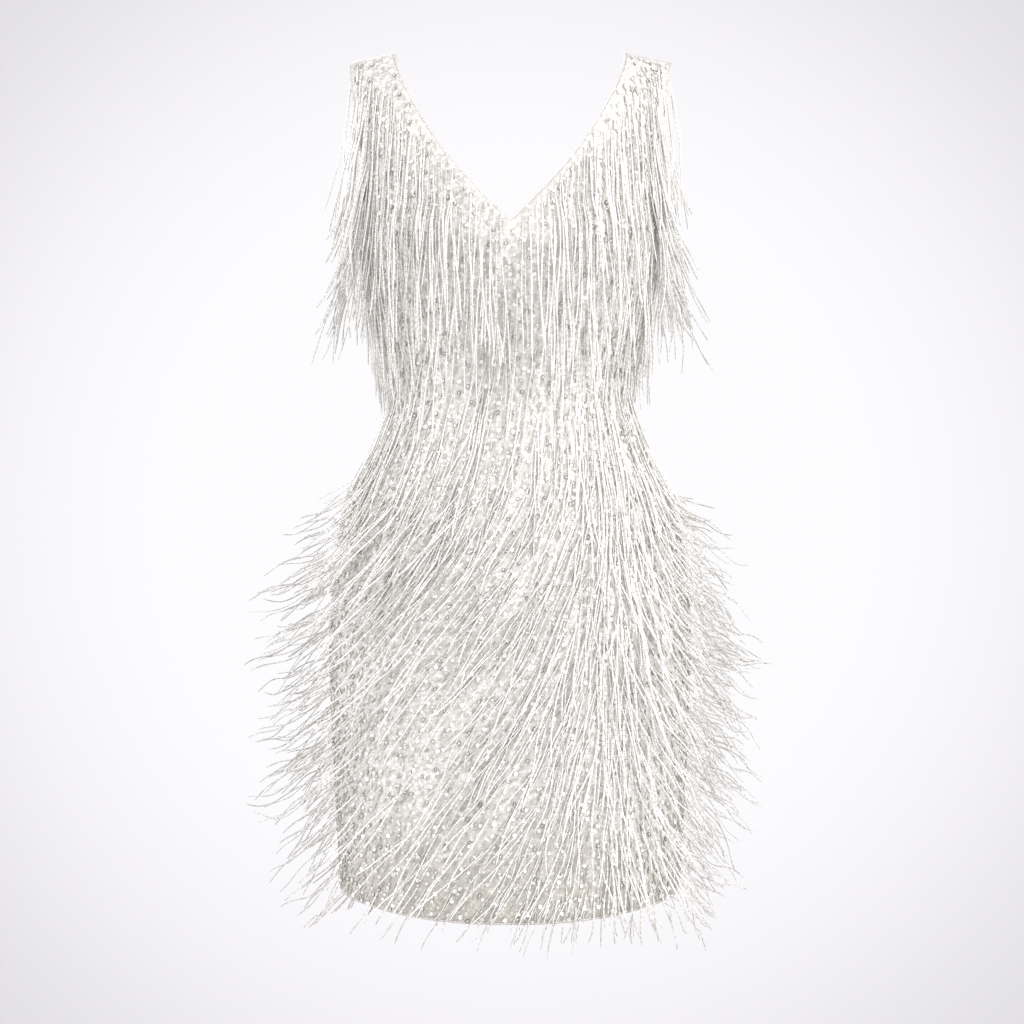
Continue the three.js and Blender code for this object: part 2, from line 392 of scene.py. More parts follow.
@dataclass(frozen=True)
class ToneFinish:
    """A bead, sequin or stone whose shade differs from one to the next.

    The attribute tone gives each one's shade, from 0 to 1. On a strand, the attribute along
    counts its beads from the root, and a darker line is drawn where two of them meet.
    """

    name: str
    tones: Stops
    roughness: float
    ior: float = 1.5
    metallic: float = 0.0
    coat: float = 0.0
    threaded: bool = False  # whether it is one long strand, with joints to draw
    joint: str = "CDCBC5"
    joint_ends: tuple[float, float] = (0.03, 0.10)  # where it fades, as shares of a bead's length

    def build(self) -> bpy.types.Material:
        """Build the material.

        Returns:
            The material.
        """
        material, tree, shader = new_material(self.name)
        tone = add_node(tree, "ShaderNodeAttribute", {"attribute_name": "tone"})
        shades = add_node(tree, "ShaderNodeValToRGB", links={"Fac": tone.outputs["Fac"]})
        colour = ramp(shades, self.tones).outputs["Color"]
        if self.threaded:
            along = add_node(tree, "ShaderNodeAttribute", {"attribute_name": "along"})
            bead = add_node(
                tree, "ShaderNodeMath", {"operation": "FRACT"}, {0: along.outputs["Fac"]}
            )
            middle = add_node(
                tree, "ShaderNodeMath", {"operation": "PINGPONG", 1: 0.5}, {0: bead.outputs[0]}
            )
            edge = ramp(
                add_node(tree, "ShaderNodeValToRGB", links={"Fac": middle.outputs[0]}),
                [(self.joint_ends[0], self.joint), (self.joint_ends[1], "FFFFFF")],
            )
            mixed = add_node(
                tree,
                "ShaderNodeMix",
                {"data_type": "RGBA", "blend_type": "MULTIPLY", 0: 1.0},
                {6: colour, 7: edge.outputs["Color"]},
            )
            colour = mixed.outputs[2]
        shader.inputs["Roughness"].default_value = self.roughness
        shader.inputs["IOR"].default_value = self.ior
        shader.inputs["Metallic"].default_value = self.metallic
        shader.inputs["Coat Weight"].default_value = self.coat
        tree.links.new(colour, shader.inputs["Base Color"])
        return material


# Alabaster glass, drawn in tubes and cut: milky and glossy, with a faint dark line where two beads
# meet. The greyer tones are the clear beads on some strands, and painted shade on the loose ends.
BUGLE_GLASS = ToneFinish(
    "alabaster_glass_bugle",
    ((0.0, "A9A7A1"), (0.4, "DAD8D3"), (0.75, "F8F7F4"), (1.0, "FEFEFC")),
    roughness=0.22,
    threaded=True,
)
# The same glass, cut short and sewn flat under the strands: greyer, as painted shade from the
# strands over them, so the strands stand out.
SHORT_BUGLE_GLASS = ToneFinish(
    "short_glass_bugle_painted_shade",
    ((0.0, "87847B"), (0.4, "AFACA2"), (0.75, "C7C5BC"), (1.0, "CCCAC3")),
    roughness=0.22,
)
# Stamped film with a pearl coat: flat, bright, with a soft shine.
PEARL_SEQUIN = ToneFinish(
    "pearl_coated_sequin_film",
    ((0.0, "CFCDC8"), (0.5, "F4F3F0"), (1.0, "FEFEFC")),
    roughness=0.25,
    coat=0.4,
)
# A foil-backed stone in a pressed silver cup: the grey cup rings it, and the stone's bright middle
# is a painted sparkle.
SET_STONE = ToneFinish(
    "silver_cup_set_stone",
    ((0.0, "989690"), (0.5, "CBC9C4"), (1.0, "FAF9F7")),
    roughness=0.25,
    metallic=0.2,
)
# Dipped imitation pearl: warm white with a deep, soft lustre.
DIPPED_PEARL = ToneFinish(
    "dipped_imitation_pearl",
    ((0.0, "DEDCD2"), (1.0, "FBFAF5")),
    roughness=0.25,
    coat=0.6,
)


# ---------------------------------------------------------------- the form


def wrapped(angle: Array) -> Array:
    """Bring angles to between -pi and pi."""
    return (angle + math.pi) % (2 * math.pi) - math.pi


@dataclass(frozen=True)
class DressForm:
    """The inside of the cloth, as a function of turn and down."""

    table: tuple[tuple[float, float, float, float], ...] = (
        # height, half the width, depth to the front, depth to the back
        (0.0, 0.177, 0.038, 0.038),
        (-0.045, 0.170, 0.066, 0.062),
        (-0.100, 0.160, 0.092, 0.084),
        (-0.157, 0.150, 0.112, 0.096),
        (-0.190, 0.149, 0.116, 0.098),
        (-0.250, 0.140, 0.100, 0.092),
        (-0.327, 0.118, 0.093, 0.085),
        (-0.380, 0.132, 0.099, 0.097),
        (-0.442, 0.159, 0.105, 0.112),
        (-0.512, 0.173, 0.108, 0.122),
        (-0.580, 0.177, 0.108, 0.124),
        (-0.700, 0.173, 0.105, 0.115),
        (-0.829, 0.166, 0.101, 0.103),
    )
    squareness: float = 2.3  # of its sections; an ellipse would be 2
    roll: float = 0.045  # radius of the shoulder's roll
    cloth: float = 0.002  # thickness
    seam: float = 0.0003  # between front and back
    hem: float = FORM_HEM
    hem_dip: float = 0.021  # how much lower it hangs at the centre
    dip_from: float = -0.600
    underarm: float = -0.157
    armhole_widest: float = -0.090
    armhole_turn: float = math.radians(28)
    neck_half: float = 0.116
    neck_curve: float = 1.55  # 1 would be a straight-sided V
    shoulder_slope: float = 0.22
    slope_fades: float = 0.120
    strap_middle: float = 0.138  # from the centre
    cup_depth: float = 0.009  # the bust darts' fullness
    cup_out: float = 0.084  # from the centre
    cup_height: float = -0.180
    cup_wide: float = 0.042
    cup_high: float = 0.050
    crease_depth: float = 0.0007  # of the drag lines
    near: float = 0.001  # the step down for a slope
    near_turn: float = 0.02  # the step round for a slope

    @property
    def arc(self) -> float:
        """The length of the shoulder's roll."""
        return self.roll * RIGHT_ANGLE

    def _curve(self, column: int, z: Array) -> Array:
        """Read a smooth curve through one column of the table.

        Args:
            column: The column.
            z: The heights.

        Returns:
            What the curve gives at each height.
        """
        rows = np.array(self.table)
        heights, values = rows[:, 0], rows[:, column]
        last = len(rows) - 1
        before = np.clip(np.arange(last + 1) - 1, 0, last)
        after = np.clip(np.arange(last + 1) + 1, 0, last)
        slope = (values[after] - values[before]) / (heights[after] - heights[before])
        z = np.clip(z, heights[-1], heights[0])
        i = np.clip(np.searchsorted(-heights, -z), 1, last)
        step = heights[i] - heights[i - 1]
        t = (z - heights[i - 1]) / step
        ends = values[i - 1] * (1 + 2 * t) * (1 - t) ** 2 + values[i] * t * t * (3 - 2 * t)
        return ends + step * (slope[i - 1] * t * (1 - t) ** 2 - slope[i] * t * t * (1 - t))

    def half(self, z: Array) -> Array:
        """Half the width at height z."""
        return self._curve(1, z)

    def depth(self, z: Array, front: Array) -> Array:
        """The depth from the side seams.

        Args:
            z: The heights.
            front: Whether each is to the front, and otherwise to the back.

        Returns:
            The depths.
        """
        round_shoulder = np.sqrt(np.clip(1 - (1 + z / self.roll) ** 2, 0, 1))
        rolled = np.where(z > -self.roll, round_shoulder, 1.0)
        return np.where(front, self._curve(2, z), self._curve(3, z)) * rolled

    def height(self, down: Array) -> Array:
        """The height that a distance from the shoulder line reaches."""
        over = -self.roll * (1 - np.cos(np.clip(down, 0, self.arc) / self.roll))
        return np.where(down < self.arc, over, self.arc - self.roll - down)

    def down(self, z: Array) -> Array:
        """The distance from the shoulder line.

        Args:
            z: The heights.

        Returns:
            The distances down.
        """
        z = np.asarray(z, dtype=float)
        over = self.roll * np.arccos(np.clip(1 + z / self.roll, -1, 1))
        return np.where(z > -self.roll, over, self.arc - self.roll - z)

    def cup(self, x: Array, z: Array) -> Array:
        """How far the bust darts push the front out, across at x and at height z."""
        beside = np.exp(-(((np.abs(x) - self.cup_out) / self.cup_wide) ** 2))
        return self.cup_depth * beside * np.exp(-(((z - self.cup_height) / self.cup_high) ** 2))

    def point(self, turn: Array, down: Array) -> Array:
        """The form's points.

        Args:
            turn: The places' turns.
            down: Their distances down.

        Returns:
            The points, (n, 3).
        """
        turn, down = np.broadcast_arrays(np.asarray(turn, float), np.asarray(down, float))
        z = self.height(down)
        power = 2 / self.squareness
        cosine = np.cos(turn)
        x = self.half(z) * np.sign(cosine) * np.abs(cosine) ** power
        across = np.abs(np.sin(turn))
        cup = np.where(turn < 0, 0.0, self.cup(x, z) * across)
        rolled = np.where(down < self.arc, np.sin(np.clip(down, 0, self.arc) / self.roll), 1.0)
        base = np.where(turn < 0, self._curve(3, z), self._curve(2, z)) * across**power + cup
        faded = 1 - smoothstep(-z, 0, self.slope_fades)
        slope = self.shoulder_slope * (self.strap_middle - np.abs(x)) * faded
        dip = self.hem_dip * across**2 * smoothstep(-z, -self.dip_from, -self.hem)
        y = np.where(turn < 0, 1, -1) * (base * rolled + self.seam / 2)
        return np.stack([x, y, z + slope - dip], axis=-1)

    def normal(self, turn: Array, down: Array) -> Array:
        """The outward directions. Over a seam the surface goes on into the other panel.

        Args:
            turn: The places' turns.
            down: Their distances down.

        Returns:
            The directions, (n, 3).
        """
        turn, down = np.broadcast_arrays(np.asarray(turn, float), np.asarray(down, float))
        ahead, behind = wrapped(turn + self.near_turn), wrapped(turn - self.near_turn)
        around = self.point(ahead, down) - self.point(behind, down)
        near_top = down < self.near
        over = np.where(near_top, -turn, turn)
        above = self.point(over, np.where(near_top, self.near, down - self.near))
        along = self.point(turn, down + self.near) - above
        outward = unit(np.cross(around, along))
        at_side = (np.abs(turn) < 1e-6) | (np.abs(np.abs(turn) - math.pi) < 1e-6)
        on_seam = at_side | (down < 1e-6)
        outward[..., 1] = np.where(on_seam, 0, outward[..., 1])
        return unit(outward)

    def crease(self, turn: Array, down: Array) -> Array:
        """How far the cloth stands in or out, in shallow drag lines that run in from the sides.

        Args:
            turn: The places' turns.
            down: Their distances down.

        Returns:
            The distances outwards.
        """
        z = self.height(down)
        side = np.abs(np.cos(turn)) ** 3
        long_folds = np.sin((z + 0.06 * np.abs(np.sin(turn))) / 0.0115)
        short_folds = np.sin((z - 0.03 * np.sin(turn)) / 0.0072 + 1.3)
        at_waist = np.exp(-(((z + 0.330) / 0.060) ** 2))
        under_bust = np.exp(-(((z + 0.215) / 0.035) ** 2))
        wave, band = long_folds + 0.6 * short_folds, at_waist + 0.5 * under_bust
        return self.crease_depth * wave * band * side

    def cloth_point(self, turn: Array, down: Array, out: float | Array = 0.0) -> Array:
        """Points off the cloth's outer face, creases included.

        Args:
            turn: The places' turns.
            down: Their distances down.
            out: How far off the cloth.

        Returns:
            The points, (n, 3).
        """
        away = np.asarray(self.cloth + self.crease(turn, down) + out)
        return self.point(turn, down) + self.normal(turn, down) * away[..., None]

    def arm_turn(self, z: Array) -> Array:
        """The angle of the armhole's edge at height z, or 0 below it."""
        part = np.clip((self.armhole_widest - z) / (self.armhole_widest - self.underarm), 0, 1)
        return self.armhole_turn * np.sqrt(1 - part**2)

    def neck_turn(self, z: Array, point: float) -> Array:
        """The angle of the neckline's edge.

        Args:
            z: The heights.
            point: The height of the neckline's point.

        Returns:
            The angles, or a right angle below the point.
        """
        part = np.clip((z - point) / -point, 0, 1)
        half = self.neck_half * (1 - (1 - part) ** self.neck_curve)
        return np.arccos(np.clip(half / self.half(z), 0, 1) ** (self.squareness / 2))

    def kept_outside(self, points: Array, clear: Array) -> Array:
        """Move points that are inside the cloth out to its outer face.

        Args:
            points: The points, (n, 3).
            clear: How far off the cloth each is kept, (n,).

        Returns:
            The points, moved where they had to be.
        """
        z = np.clip(points[:, 2], self.hem, -1e-4)
        margin = self.cloth + clear
        wide = self.half(z) + margin
        front = points[:, 1] < 0
        cup = np.where(front, self.cup(points[:, 0], z), 0.0) * 1.15  # and a little to spare
        deep = self.depth(z, front) + margin + cup
        n = self.squareness
        reach = (np.abs(points[:, 0]) / wide) ** n + (np.abs(points[:, 1]) / deep) ** n
        armhole = self.half(z) * np.cos(self.arm_turn(z)) ** (2 / n)
        in_armhole = (z > self.underarm) & (np.abs(points[:, 0]) > armhole - 0.004)
        held_off = (reach < 1) & (points[:, 2] > self.hem - 0.002) & ~in_armhole
        on_strap = z > self.underarm
        grow = np.where(held_off & ~on_strap, np.maximum(reach, 1e-3) ** (-1 / n), 1.0)
        level = deep * np.clip(1 - (np.abs(points[:, 0]) / wide) ** n, 0, 1) ** (1 / n)
        moved = points.copy()
        moved[:, 0] *= grow
        levelled = np.where(front, -level, level)
        moved[:, 1] = np.where(held_off & on_strap, levelled, points[:, 1] * grow)
        return moved


@dataclass(frozen=True)
class Cut:
    """How one panel is cut, and what it measures laid flat."""

    side: Side
    node: str
    v_point: float  # the height of the neckline's point
    flat: tuple[float, float]  # round the hips, and from the shoulder over the fullness to the hem
    flat_area: float


FORM = DressForm()
CUTS = {
    Side.FRONT: Cut(Side.FRONT, "front_panel", -0.174, (0.472, 0.906), 0.3295),
    Side.BACK: Cut(Side.BACK, "back_panel", -0.225, (0.495, 0.898), 0.3236),
}


SHOULDER_TOP = -0.0001  # just under the shoulder line
EDGE_TURN = 0.012  # how far beads stay off the armholes' and the neckline's edges
NARROWEST = 0.020  # the least turn that still takes a row
LINE_STEPS = 60  # along a row


def sown(
    cut: Cut,
    top: float,
    bottom: float,
    row: float,
    pitch: float,
    jitter: float,
    rng: np.random.Generator,
) -> tuple[Array, Array]:
    """Places in rows over a panel, each row shifted by chance.

    Args:
        cut: The panel.
        top: The first row's height.
        bottom: The height that the rows stop at.
        row: The distance between rows.
        pitch: The distance between places in a row.
        jitter: How far a place may stray, as a share of the pitch.
        rng: The source of chance.

    Returns:
        The places' turns and distances down.
    """
    turns, downs = [], []
    for z in np.arange(top - row / 2, bottom, -row):
        arm = float(FORM.arm_turn(z)) + EDGE_TURN
        spans = [(arm, math.pi - arm)]
        if z > cut.v_point:
            neck = float(FORM.neck_turn(z, cut.v_point))
            spans = [(arm, neck - EDGE_TURN), (math.pi - neck + EDGE_TURN, math.pi - arm)]
        for low, high in spans:
            if high - low < NARROWEST:
                continue
            fine = np.linspace(low, high, LINE_STEPS)
            line = FORM.point(fine, np.full(LINE_STEPS, float(FORM.down(z))))
            steps = np.linalg.norm(np.diff(line, axis=0), axis=1)
            length = np.concatenate([[0], np.cumsum(steps)])
            count = max(1, int(length[-1] / pitch))
            shift = rng.uniform(0, 1)
            at = (np.arange(count) + shift + rng.uniform(-jitter, jitter, count)) * pitch
            at = at[(at > 0) & (at < length[-1])]
            turns.append(np.interp(at, length, fine))
            downs.append(float(FORM.down(z)) + rng.uniform(-jitter, jitter, len(at)) * row)
    turn = np.concatenate(turns)
    down = np.maximum(np.concatenate(downs), 0.003)
    return turn * cut.side.value, down


# ---------------------------------------------------------------- cloth


@dataclass
class GroundPanel:
    """The front or back of the dress: one shaped panel of tulle, closed as a thin wall."""

    cut: Cut
    columns: int = 22  # from a side seam or an armhole to the centre
    row: float = 0.0125
    roll_rows: int = 6
    foot_rows: int = 9
    closest: float = 0.0012  # rows closer than this become one

    def rows(self) -> list[float]:
        """Choose the heights of the panel's rows.

        Returns:
            The heights downwards, crowded at the shoulder's roll and the armhole's foot.
        """
        roll_steps = range(self.roll_rows + 1)
        roll = [float(FORM.height(np.float64(FORM.arc * i / self.roll_rows))) for i in roll_steps]
        reach = FORM.armhole_widest - FORM.underarm
        foot_angles = [RIGHT_ANGLE * i / self.foot_rows for i in range(self.foot_rows + 1)]
        foot = [FORM.underarm + reach * (1 - math.sin(angle)) for angle in foot_angles]
        between = list(np.arange(-0.055, FORM.armhole_widest + 0.004, -0.010))
        count = round((FORM.underarm - FORM.hem) / self.row)
        body = list(np.linspace(FORM.underarm, FORM.hem, count))
        every = roll + between + foot + body + [self.cut.v_point]
        steps = sorted({round(z, 5) for z in every}, reverse=True)
        needed = [round(z, 5) for z in (FORM.hem, self.cut.v_point, FORM.underarm)]
        kept = [steps[0]]
        for z in steps[1:]:
            if kept[-1] - z > self.closest or z in needed:
                kept.append(z)
        return kept

    def build(self, finish: bpy.types.Material, inside: bpy.types.Material) -> bpy.types.Object:
        """Build the panel and put it in the place of its plain solid.

        Args:
            finish: Its outer material.
            inside: The material of its inner face.

        Returns:
            The panel.
        """
        places: list[tuple[float, float]] = []
        quads: Faces = []
        above: list[list[int]] = []
        for z in self.rows():
            down = float(FORM.down(z))
            arm = float(FORM.arm_turn(np.float64(z)))
            split = z > self.cut.v_point + 1e-6
            neck = float(FORM.neck_turn(np.float64(z), self.cut.v_point)) if split else math.pi / 2
            halves: list[list[int]] = []
            for mirror in (False, True):
                line = []
                for i in range(self.columns + 1):
                    if mirror and i == self.columns and not split:
                        line.append(halves[0][-1])
                        continue
                    turn = arm + (neck - arm) * i / self.columns
                    turn = math.pi - turn if mirror else turn
                    places.append((turn * self.cut.side.value, down))
                    line.append(len(places) - 1)
                halves.append(line)
            for over, under, mirror in zip(above, halves, (False, True)):
                for i in range(self.columns):
                    quad = (over[i], under[i], under[i + 1], over[i + 1])
                    turned = mirror == (self.cut.side is Side.FRONT)
                    quads.append(quad if turned else quad[::-1])
            above = halves
        piece = self._wall(np.array(places), quads, finish)
        piece.data.materials.append(inside)
        index = np.zeros(len(piece.data.polygons), dtype=np.int32)
        index[len(quads) : 2 * len(quads)] = 1
        piece.data.polygons.foreach_set("material_index", index)
        return piece

    def _wall(self, places: Array, quads: Faces, finish: bpy.types.Material) -> bpy.types.Object:
        """Close the laid-out faces into a wall with an outer and an inner skin and a rim.

        Args:
            places: The turn and the distance down of each point, (n, 2).
            quads: The faces between them.
            finish: The material.

        Returns:
            The panel.
        """
        turn, down = places[:, 0], places[:, 1]
        outer = FORM.cloth_point(turn, down)
        crease = FORM.crease(turn, down)[:, None]
        inner = FORM.point(turn, down) + FORM.normal(turn, down) * crease
        count = len(places)
        faces = list(quads)
        faces += [tuple(i + count for i in reversed(q)) for q in quads]
        edges = {(q[i], q[(i + 1) % 4]) for q in quads for i in range(4)}
        faces += [(b, a, a + count, b + count) for a, b in edges if (b, a) not in edges]
        points = np.concatenate([outer, inner])
        piece = mesh_object(f"{self.cut.node}_cloth", points, faces, finish, True)
        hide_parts(self.cut.node)
        return piece


@dataclass
class RolledEdge:
    """A narrow rolled binding along an edge of the cloth."""

    node: str
    upright: bool = False  # whether it stands straight down from the edge, as it does at the hem
    wide: float = 0.0022
    thick: float = 0.0024
    beyond: float = 0.0011  # how far its middle lies past the cloth's edge
    facets: int = 10

    def build(self, turn: Array, down: Array, finish: bpy.types.Material) -> bpy.types.Object:
        """Build the binding along a closed line of places.

        Args:
            turn: The places' turns, with the cloth on the line's left seen from outside.
            down: Their distances down.
            finish: The material.

        Returns:
            The binding.
        """
        middle = FORM.point(turn, down) + FORM.normal(turn, down) * FORM.cloth / 2
        out = FORM.normal(turn, down)
        if self.upright:
            out[:, 2] = 0
            out = unit(out)
        along = unit(np.roll(middle, -1, axis=0) - np.roll(middle, 1, axis=0))
        away = unit(np.cross(along, out))
        angles = np.linspace(0, 2 * math.pi, self.facets, endpoint=False)
        ring = (
            middle[:, None]
            + away[:, None] * (self.beyond + self.wide / 2 * np.cos(angles))[None, :, None]
            + out[:, None] * (self.thick / 2 * np.sin(angles))[None, :, None]
        )
        count = len(middle)
        i, k = np.meshgrid(np.arange(count), np.arange(self.facets), indexing="ij")
        m = (k + 1) % self.facets
        here, ahead = i * self.facets, (i + 1) % count * self.facets
        faces = np.stack([here + k, ahead + k, ahead + m, here + m], axis=-1).reshape(-1, 4)
        piece = mesh_object(f"{self.node}_rolled", ring.reshape(-1, 3), faces, finish, True)
        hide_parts(self.node)
        return piece


def neck_half(cut: Cut, step: float) -> tuple[Array, Array]:
    """The left half of one panel's neckline, from its point up.

    Args:
        cut: The panel.
        step: About how far apart the places are.

    Returns:
        The places' turns and distances down.
    """
    z = np.linspace(cut.v_point, SHOULDER_TOP, int(-cut.v_point / step))
    return FORM.neck_turn(z, cut.v_point), FORM.down(z)


def neck_line(step: float = 0.005) -> tuple[Array, Array]:
    """The whole neckline as a closed line, with the cloth on its left.

    Args:
        step: About how far apart the places are.

    Returns:
        The places' turns and distances down.
    """
    front_turn, front_down = neck_half(CUTS[Side.FRONT], step)
    back_turn, back_down = neck_half(CUTS[Side.BACK], step)
    turn = np.concatenate([front_turn, -back_turn[::-1]])
    down = np.concatenate([front_down, back_down[::-1]])
    mirrored = np.sign(turn[1:-1]) * (math.pi - np.abs(turn[1:-1]))
    turn = np.concatenate([turn, mirrored[::-1]])
    down = np.concatenate([down, down[1:-1][::-1]])
    return turn[::-1], down[::-1]


def armhole_line(left: bool, steps: int = 26) -> tuple[Array, Array]:
    """An armhole's edge as a closed line, with the cloth on its left.

    Args:
        left: Whether it is the wearer's left armhole.
        steps: How many places each of its stretches has.

    Returns:
        The places' turns and distances down.
    """
    reach = FORM.armhole_widest - FORM.underarm
    foot = FORM.underarm + reach * (1 - np.cos(np.linspace(0, RIGHT_ANGLE, steps)))
    z = np.concatenate([foot, np.linspace(FORM.armhole_widest, SHOULDER_TOP, steps)[1:]])
    turn, down = FORM.arm_turn(z), FORM.down(z)
    turn = np.concatenate([turn, -turn[1:-1][::-1]])
    down = np.concatenate([down, down[1:-1][::-1]])
    if left:
        return turn, down
    turn = np.where(turn < 0, -1, 1) * (math.pi - np.abs(turn))
    return turn[::-1], down[::-1]


# ---------------------------------------------------------------- bead strands


@dataclass
class Strands:
    """Bead strands sewn on in rows: each leaves the cloth, sweeps sideways and turns at its tip."""

    name: str
    nodes: tuple[str, ...]
    sides: int = 4
    links: int = 16
    radius: float = 0.00074
    loose_end_shade: float = 0.58  # how much painted shade greys the loose ends
    bead: float = 0.0052  # the length of one bugle

    def lay(
        self,
        root: Array,
        way: Array,
        length: Array,
        clear: Array,
        flick: Array,
        wave: float,
        rng: np.random.Generator,
    ) -> Array:
        """Lay each strand from its root, keeping it off the cloth.

        Args:
            root: Where the strands are sewn on, (n, 3).
            way: The directions in which they set off, (n, 3).
            length: Their lengths, (n,).
            clear: How far off the cloth their tips are kept, (n,).
            flick: What is added to their direction by the tip, (n, 3).
            wave: How strongly they wave from side to side.
            rng: The source of chance.

        Returns:
            The strands' points, (n, links + 1, 3).
        """
        count = len(root)
        x, z = root[:, 0], root[:, 2]
        # At the sides of the hips they wave more, and up and down as well.
        edge = smoothstep(np.abs(x), 0.110, 0.170) * smoothstep(-z, 0.350, 0.450)
        # Neighbours cling together in locks, most below the waist.
        lock = np.sin(x * 83 + z * 57 + 0.7) + np.sin(z * 151 - x * 49 + 2.1)
        lock *= 0.35 + 0.65 * smoothstep(-z, 0.300, 0.450)
        swing = rng.normal(0, 1, (count, 3)) * np.array([1.0, 0.5, 0.6])
        turns = rng.uniform(0.6, 1.5, count) + 0.5 * edge
        phase = rng.uniform(0, 2 * math.pi, count)
        path = [root]
        for k in range(self.links):
            part = (k + 0.5) / self.links
            sway = np.sin(2 * math.pi * turns * part + phase) * wave * (0.4 + part) * (1 + edge)
            turned = way + flick * part**2
            turned[:, 0] += sway * (1 - 0.5 * edge) + 0.13 * lock * part
            turned[:, 2] += 1.6 * sway * edge + 0.20 * lock * part * edge
            turned = unit(turned + swing * wave * (part - 0.3))
            step = path[-1] + turned * (length / self.links)[:, None]
            lifted = self.radius * 1.2 + clear * math.sin(part * math.pi / 2)
            path.append(FORM.kept_outside(step, lifted))
        return np.stack(path, axis=1)

    def build(
        self, paths: Array, tone: Array, finish: bpy.types.Material, rng: np.random.Generator
    ) -> bpy.types.Object:
        """Thread the beads along the laid strands.

        Args:
            paths: The strands' points, (n, links + 1, 3).
            tone: How white each strand is, from 0 to 1, (n,).
            finish: The material.
            rng: The source of chance.

        Returns:
            The strands as one piece, in the place of their plain solids.
        """
        count, knots = paths.shape[:2]
        along = unit(np.gradient(paths, axis=1))
        centre = paths[:, :, :2] * np.array([1.0, 1.6])
        outward = unit(np.concatenate([centre, np.zeros((count, knots, 1))], axis=2))
        across = unit(np.cross(along, outward) + 1e-5)
        over = unit(np.cross(across, along))
        angles = np.linspace(0, 2 * math.pi, self.sides, endpoint=False) + math.pi / self.sides
        taper = np.ones(knots)
        taper[0] = 0.6
        taper[-1] = 0.55
        thinner = 1 - 0.22 * self.loose(paths)
        size = self.radius * taper * rng.uniform(0.88, 1.12, (count, 1)) * thinner
        size = size[:, :, None, None]
        ring = (
            paths[:, :, None]
            + across[:, :, None] * np.cos(angles)[None, None, :, None] * size
            + over[:, :, None] * np.sin(angles)[None, None, :, None] * size
        )
        corners = self._bead_faces(knots)
        one = [tuple(k * self.sides + side % self.sides for k, side in face) for face in corners]
        per = knots * self.sides
        faces = [tuple(i + per * n for i in face) for n in range(count) for face in one]
        piece = mesh_object(self.name, ring.reshape(-1, 3), faces, finish, True)
        lengths = np.linalg.norm(np.diff(paths, axis=1), axis=2)
        travelled = np.concatenate([np.zeros((count, 1)), np.cumsum(lengths, axis=1)], axis=1)
        store(piece, "along", "POINT", np.repeat((travelled / self.bead).ravel(), self.sides))
        middle = (paths[:, 1:] + paths[:, :-1]) / 2
        # Painted shade: the beads grey where the strand hangs clear of the cloth, so its loose end
        # stands grey against the bright backdrop.
        whiter = 1 - self.loose_end_shade * self.loose(middle)
        shade = tone[:, None] * whiter + rng.normal(0, 0.10, (count, knots - 1))
        shade = np.clip(shade, 0, 1)
        round_it = np.repeat(shade, self.sides, axis=1)
        per_face = np.concatenate([round_it, shade[:, :1], shade[:, -1:]], axis=1)
        store(piece, "tone", "FACE", per_face.ravel())
        self._lay_flat(piece, count, knots, np.array([c for face in corners for c in face]))
        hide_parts(*self.nodes)
        return piece

    def loose(self, points: Array) -> Array:
        """How far points hang clear of the cloth.

        Args:
            points: The points, (..., 3).

        Returns:
            0 over the cloth, rising to 1 at 30 mm past its sides or its hem.
        """
        beside = smoothstep(np.abs(points[..., 0]) - FORM.half(points[..., 2]), 0.0, 0.030)
        below = smoothstep(-points[..., 2], -FORM.hem, -FORM.hem + 0.030)
        return np.maximum(beside, below)

    def _bead_faces(self, knots: int) -> list[list[tuple[int, int]]]:
        """One strand's faces, each corner as its knot and its place round the bead.

        Args:
            knots: How many points the strand has.

        Returns:
            The faces between the knots in order, then the two ends.
        """
        faces = [
            [(k + 1, side), (k + 1, side + 1), (k, side + 1), (k, side)]
            for k in range(knots - 1)
            for side in range(self.sides)
        ]
        faces.append([(0, side) for side in range(self.sides)])
        faces.append([(knots - 1, side) for side in reversed(range(self.sides))])
        return faces

    def _lay_flat(self, piece: bpy.types.Object, count: int, knots: int, corners: Array) -> None:
        """Lay every strand in its own strip of the flat layout.

        Args:
            piece: The strands.
            count: How many there are.
            knots: How many points each has.
            corners: Knot and place round the bead of each face corner of one strand.
        """
        across = max(1, math.ceil(math.sqrt(count / 6)))
        rows = math.ceil(count / across)
        number = np.arange(count)
        origin = np.stack([(number % across) / across, (number // across) / rows], axis=1)
        lengthwise = 0.03 + 0.94 * corners[:, 0] / (knots - 1)
        crosswise = 0.08 + 0.84 * corners[:, 1] / self.sides
        local = np.stack([lengthwise / across, crosswise / rows], axis=-1)
        store_atlas(piece, (origin[:, None] + local[None]).reshape(-1, 2))


def sweep(x: Array, z: Array, side: Side) -> Array:
    """How far strands lean to the wearer's left (+) or right (-) for each unit that they fall.

    Args:
        x: Where the roots are across the dress.
        z: Their heights.
        side: The half that they are on.

    Returns:
        The lean.
    """
    parting = 0.098 if side is Side.FRONT else -0.030
    off = x - parting
    # Away from the parting on both sides, from the waist down, and easing near the hem.
    lean = np.where(off > 0, 0.85 * np.tanh(off / 0.070), -0.82 * np.tanh(-off / 0.070))
    grown = 0.30 * smoothstep(-z, 0.235, 0.345) + 0.70 * smoothstep(-z, 0.350, 0.480)
    eased = 1 - 0.25 * smoothstep(-z, 0.640, 0.829)
    # Outwards over the hips, more on the right than on the left.
    edge = smoothstep(np.abs(x), 0.130, 0.176)
    right = 1.25 - 0.40 * smoothstep(-z, 0.420, 0.520) - 0.45 * smoothstep(-z, 0.540, 0.720)
    left = 0.22 - 0.12 * smoothstep(-z, 0.600, 0.720)
    flare = edge * smoothstep(-z, 0.350, 0.410) * np.where(x < 0, -right, left)
    # A little outwards on the straps, and in towards the waist above it.
    on_strap = 1 - smoothstep(-z, 0.060, 0.150)
    hug = 0.07 * on_strap
    hug -= 0.18 * smoothstep(-z, 0.130, 0.200) * (1 - smoothstep(-z, 0.300, 0.350))
    return lean * grown * eased + flare + hug * np.sign(x) * smoothstep(np.abs(x), 0.060, 0.140)


